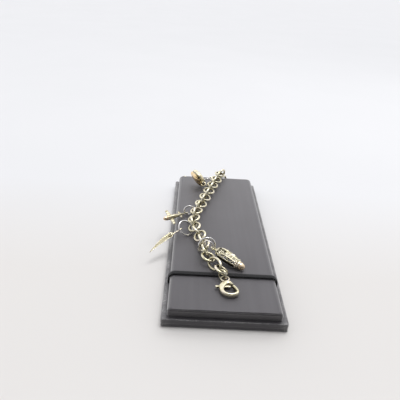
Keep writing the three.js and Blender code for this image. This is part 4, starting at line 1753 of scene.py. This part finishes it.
@dataclass(frozen=True)
class PlaneDrop(Charm):
    """A small winged charm: a grooved round body, tapered wings and a tail."""

    # Along the body: the place and the radius.
    body: tuple[tuple[float, float], ...] = (
        (1.6, 0.5), (4, 0.9), (9, 1.3), (13, 1.62), (16, 1.7), (18.5, 1.6), (20.3, 1.15), (21.2, 0.55),
    )

    def wing(self, at: float, span: float, root: float, tip: float, thick: float) -> Shell:
        """A wing right across the body.

        From tip to tip its section is a rounded blade: the chord falls from root to tip and the
        thickness with it, and the last rows shrink as a dome does. Fine ribs cross it, a cosine
        of the place along the span.

        Args:
            at: Its place along the body.
            span: From the body's middle to a tip.
            root: The chord at the body.
            tip: The chord at the tips.
            thick: The thickness at the body.

        Returns:
            The wing's surface.
        """
        share = np.sin(np.linspace(-np.pi / 2, np.pi / 2, 61) * 0.985)
        chord = tip + (root - tip) * (1 - np.abs(share))
        fade = np.sqrt(np.clip(1 - np.clip((np.abs(share) - 0.9) / 0.1, 0, 1) ** 2, 0.02, 1))
        v = around(36)
        x = at + (chord * fade / 2)[:, None] * signed_power(np.cos(v), 0.85)
        x = x + 0.5 * np.abs(share)[:, None]
        z = (thick / 2 * fade * (0.6 + 0.4 * chord / root))[:, None] * signed_power(np.sin(v), 0.75)
        ribs = 0.035 * np.cos(share * span * 3.4)[:, None] * np.sin(v)
        grid = np.stack([x, np.repeat((share * span)[:, None], 36, 1), z + ribs], 2)
        # Painted shade: the wing's underside is darker, and its upper face towards the middle of the
        # chord.
        wear_and_shade = np.where(np.sin(v) < 0, 0.8, 0.70 - 0.3 * np.abs(np.cos(v)))
        return Shell.of_grid(grid, painted_shade=wear_and_shade)

    def shells(self) -> list[Shell]:
        """The grooved body with its rosy nose, the cabin, the wings, the tail and the eye.

        Returns:
            Their surfaces in the charm's own frame.
        """
        x, radius = through(self.body, 160).T[:, :, None]
        v = around(56)
        groove = 1 - 0.20 * bell(v, math.radians(128), 0.16) - 0.12 * bell(v, math.radians(52), 0.13)
        ring = 1 - 0.07 * bell(x, 18.9, 0.14) - 0.06 * bell(x, 6.4, 0.14)
        radius = radius * groove * ring
        body = np.stack([np.repeat(x, len(v), 1), radius * np.cos(v), radius * np.sin(v)], 2)
        rose = np.clip((x - 17.0) / 2.5, 0, 0.55)
        # Painted shade: the body is darkened all over, more in its grooves.
        dull_and_shade = np.clip(0.45 + 5 * (1 - groove), 0, 1)
        cabin_x = np.linspace(11.5, 15.0, 12)
        cabin = np.stack([cabin_x, 0 * cabin_x, np.full(12, 1.15)], 1)
        return [
            Shell.of_grid(body, tone=rose, painted_shade=dull_and_shade),
            bar(cabin, 0.75, 0.72, np.array([0, 0, 1.0]), 20), self.wing(14.5, 6.2, 3.8, 2.2, 1.0),
            self.wing(5.0, 2.6, 2.2, 1.4, 0.8), self.eyelet(4.1, 0.8),
        ]


@dataclass(frozen=True)
class HeartLocket(Charm):
    """A puffed heart of two halves that meet at a seam."""

    width: float = 17.2
    half_height: float = 3.8

    def heart(self, scale: Array, z: Array, steps: int = 150) -> Array:
        """A grid of heart outlines, one a row.

        Round the heart x is 16 times the sine cubed and y is 13 cosine, less 5 of the double,
        2 of the triple and 1 of the fourfold angle's cosine. The lobes face the eye.

        Args:
            scale: The size of each row's heart against the widest.
            z: The height of each row.
            steps: Points round a heart.

        Returns:
            The grid of points.
        """
        t = 2 * np.pi * (np.arange(steps) + 0.5) / steps
        wide = 16 * np.sin(t) ** 3
        tall = 13 * np.cos(t) - 5 * np.cos(2 * t) - 2 * np.cos(3 * t) - np.cos(4 * t)
        size = (self.width / 34) * np.asarray(scale)[:, None]
        x = 8.5 - size * (tall + 2)
        return np.stack([x, -size * wide, np.broadcast_to(np.asarray(z)[:, None], x.shape)], 2)

    def half(self, side: float) -> Shell:
        """One puffed half: a rim, a fine step inside it and a dome to its middle.

        The dome's rows shrink as the root of one less a power of the share of its rise. The
        half on the lower side is tinted a warmer orange gold, a painted reflection.

        Args:
            side: 1 for the upper half, -1 for the lower.

        Returns:
            The half's surface.
        """
        rise = np.linspace(0, 1, 30)
        puff = 0.95 * np.maximum(1 - rise**2.1, 0.004) ** 0.5
        scale = np.concatenate([[0.90, 0.985, 1.0, 1.0, 0.985], puff])
        low, rim = 0.50, 1.10
        z = np.concatenate([[low, low + 0.02, low + 0.12, rim - 0.12, rim],
                            rim + (self.half_height - rim) * rise**0.9])
        # Painted reflection: the lower half is tinted towards the warm orange of the finish.
        return Shell.of_grid(self.heart(scale, side * z), tone=0.80 if side < 0 else 0.0)

    def shells(self) -> list[Shell]:
        """Both halves, the neck, the eye and a plate between the halves, dark as painted shade of the
        seam.

        Returns:
            Their surfaces in the charm's own frame.
        """
        # Painted shade: a dark plate fills the gap between the halves.
        plate = self.heart([0.5, 0.90, 0.90, 0.5], [-0.4, -0.38, 0.38, 0.4])
        neck = through([(1.6, 0.6), (2.4, 0.7), (3.4, 0.62), (4.6, 0.8), (5.6, 0.9)], 30)
        return [self.half(1.0), self.half(-1.0), turned_form(neck, 24), self.eyelet(4.2, 1.0),
                Shell.of_grid(plate, painted_shade=1.0)]


# Each charm's node, its ring, the place of its eye round the ring in degrees, its tip and the way
# that it faces up.
CHARMS: tuple[Charm, ...] = (
    FiligreeDrop("charm_filigree", JUMP_RINGS["filigree"], -28, (13.3, -50.9, 14.25),
                 (-0.1, -0.2, 1), DEEP_SHADE_GOLD),
    LeafDrop("charm_leaf", JUMP_RINGS["leaf"], 212, (-45, -29, 8.3), (-0.2, -0.3, 1)),
    PlaneDrop("charm_plane", JUMP_RINGS["plane"], 225, (-39.7, 0.3, 15.7), (0.35, -0.5, 1)),
    HeartLocket("charm_locket", JUMP_RINGS["locket"], 200, (-21.5, 73.5, 23.8),
                (0.55, 0.5, 0.67), WARM_GOLD),
)


# ---------------------------------------------------------------- studio


class Light(Enum):
    """Blender's kinds of light that the studio uses."""

    SUN = "SUN"
    SQUARE = "AREA"


@dataclass(frozen=True)
class Lamp:
    """A soft lamp that faces the stand.

    Its place is in metres, and only the direction counts for a sun. Its spread is the sun's width
    in degrees or the square's side in metres, its power in watts a square metre or in watts.
    """

    kind: Light
    place: tuple[float, float, float]
    spread: float
    power: float

    def build(self) -> None:
        """Makes the lamp and turns it to the stand."""
        data = bpy.data.lights.new(self.kind.name.lower() + "_lamp", self.kind.value)
        data.energy = self.power
        if self.kind is Light.SUN:
            data.angle = math.radians(self.spread)
        else:
            data.shape, data.size = "SQUARE", self.spread
        lamp = bpy.data.objects.new(data.name, data)
        bpy.context.scene.collection.objects.link(lamp)
        lamp.location = self.place
        way = Vector((0, 0, 0.01)) - Vector(self.place)
        lamp.rotation_euler = way.to_track_quat("-Z", "Y").to_euler()


@dataclass(frozen=True)
class Studio:
    """The floor, the light and the camera.

    The camera's eye is in millimetres, its three turns in degrees. The sky is brightest where
    sky_lean points and falls to sky_front on the other side.
    """

    eye: tuple[float, float, float] = (-23.625, -267.047, 168.035)
    yaw: float = 1.8776
    pitch: float = 26.9066
    roll: float = 3.8956
    lens: float = 39.6
    sky: Colour = (0.985, 0.98, 1.0)
    sky_behind: float = 1.30
    sky_front: float = 0.05
    sky_lean: tuple[float, float, float] = (-0.20, 0.93, 0.30)
    floor_half: float = 24.0
    lamps: tuple[Lamp, ...] = (
        Lamp(Light.SUN, (0.15, 0.22, 0.95), 26.0, 1.20),
        Lamp(Light.SQUARE, (0.42, 0.42, 0.62), 0.22, 0.55),
    )

    def camera(self) -> None:
        """The camera: turned by yaw, tipped down by pitch, then rolled about its own view."""
        yaw, pitch, roll = (math.radians(a) for a in (self.yaw, self.pitch, self.roll))
        level = math.cos(pitch)
        ahead = np.array([math.sin(yaw) * level, math.cos(yaw) * level, -math.sin(pitch)])
        right0 = np.array([math.cos(yaw), -math.sin(yaw), 0.0])
        up0 = np.cross(right0, ahead)
        right = math.cos(roll) * right0 + math.sin(roll) * up0
        up = -math.sin(roll) * right0 + math.cos(roll) * up0
        data = bpy.data.cameras.new("studio_camera")
        data.lens = self.lens
        data.clip_start, data.clip_end = 0.01, 60.0
        camera = bpy.data.objects.new("studio_camera", data)
        bpy.context.scene.collection.objects.link(camera)
        basis = np.eye(4)
        basis[:3, :3] = np.stack([right, up, -ahead], 1)
        basis[:3, 3] = np.array(self.eye) * MM
        camera.matrix_world = Matrix(basis.tolist())
        bpy.context.scene.camera = camera

    def floor(self, shop: Workshop) -> None:
        """The pale floor under the stand.

        Args:
            shop: The workshop that makes its material.
        """
        s = self.floor_half
        mesh = bpy.data.meshes.new("floor")
        mesh.from_pydata([(-s, -s, 0), (s, -s, 0), (s, s, 0), (-s, s, 0)], [], [(0, 1, 2, 3)])
        mesh.materials.append(shop.finish(SHEET))
        floor = bpy.data.objects.new("floor", mesh)
        bpy.context.scene.collection.objects.link(floor)

    def light(self) -> None:
        """A pale sky, brighter above and behind, and the lamps."""
        world = bpy.data.worlds.new("pale_sky")
        world.use_nodes = True
        nodes, links = world.node_tree.nodes, world.node_tree.links
        kinds = ("ShaderNodeTexCoord", "ShaderNodeVectorMath", "ShaderNodeMapRange")
        where, lean, ramp = (nodes.new(kind) for kind in kinds)
        lean.operation = "DOT_PRODUCT"
        lean.inputs[1].default_value = self.sky_lean
        for socket, value in zip(ramp.inputs[1:5], (-0.7, 0.9, self.sky_front, self.sky_behind)):
            socket.default_value = value
        back = nodes["Background"]
        back.inputs["Color"].default_value = (*self.sky, 1.0)
        links.new(where.outputs["Object"], lean.inputs[0])
        links.new(lean.outputs["Value"], ramp.inputs[0])
        links.new(ramp.outputs[0], back.inputs["Strength"])
        bpy.context.scene.world = world
        for lamp in self.lamps:
            lamp.build()

    def build(self, shop: Workshop) -> None:
        """Sets the studio up.

        Args:
            shop: The workshop that makes the floor's material.
        """
        bpy.context.scene.view_settings.view_transform = "Standard"
        self.camera()
        self.floor(shop)
        self.light()


def main() -> None:
    """Builds the studio, then every piece of the anklet and its stand, each logged as it is made."""
    shop = Workshop()
    Studio().build(shop)
    Stand.measured().build(shop)
    Chain().build(shop)
    Clasp().build(shop)
    for ring in JUMP_RINGS.values():
        ring.build(shop)
    for charm in CHARMS:
        charm.build(shop)


if __name__ == "__main__":
    logging.basicConfig(level=logging.INFO, format="%(message)s")
    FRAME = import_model()
    main()
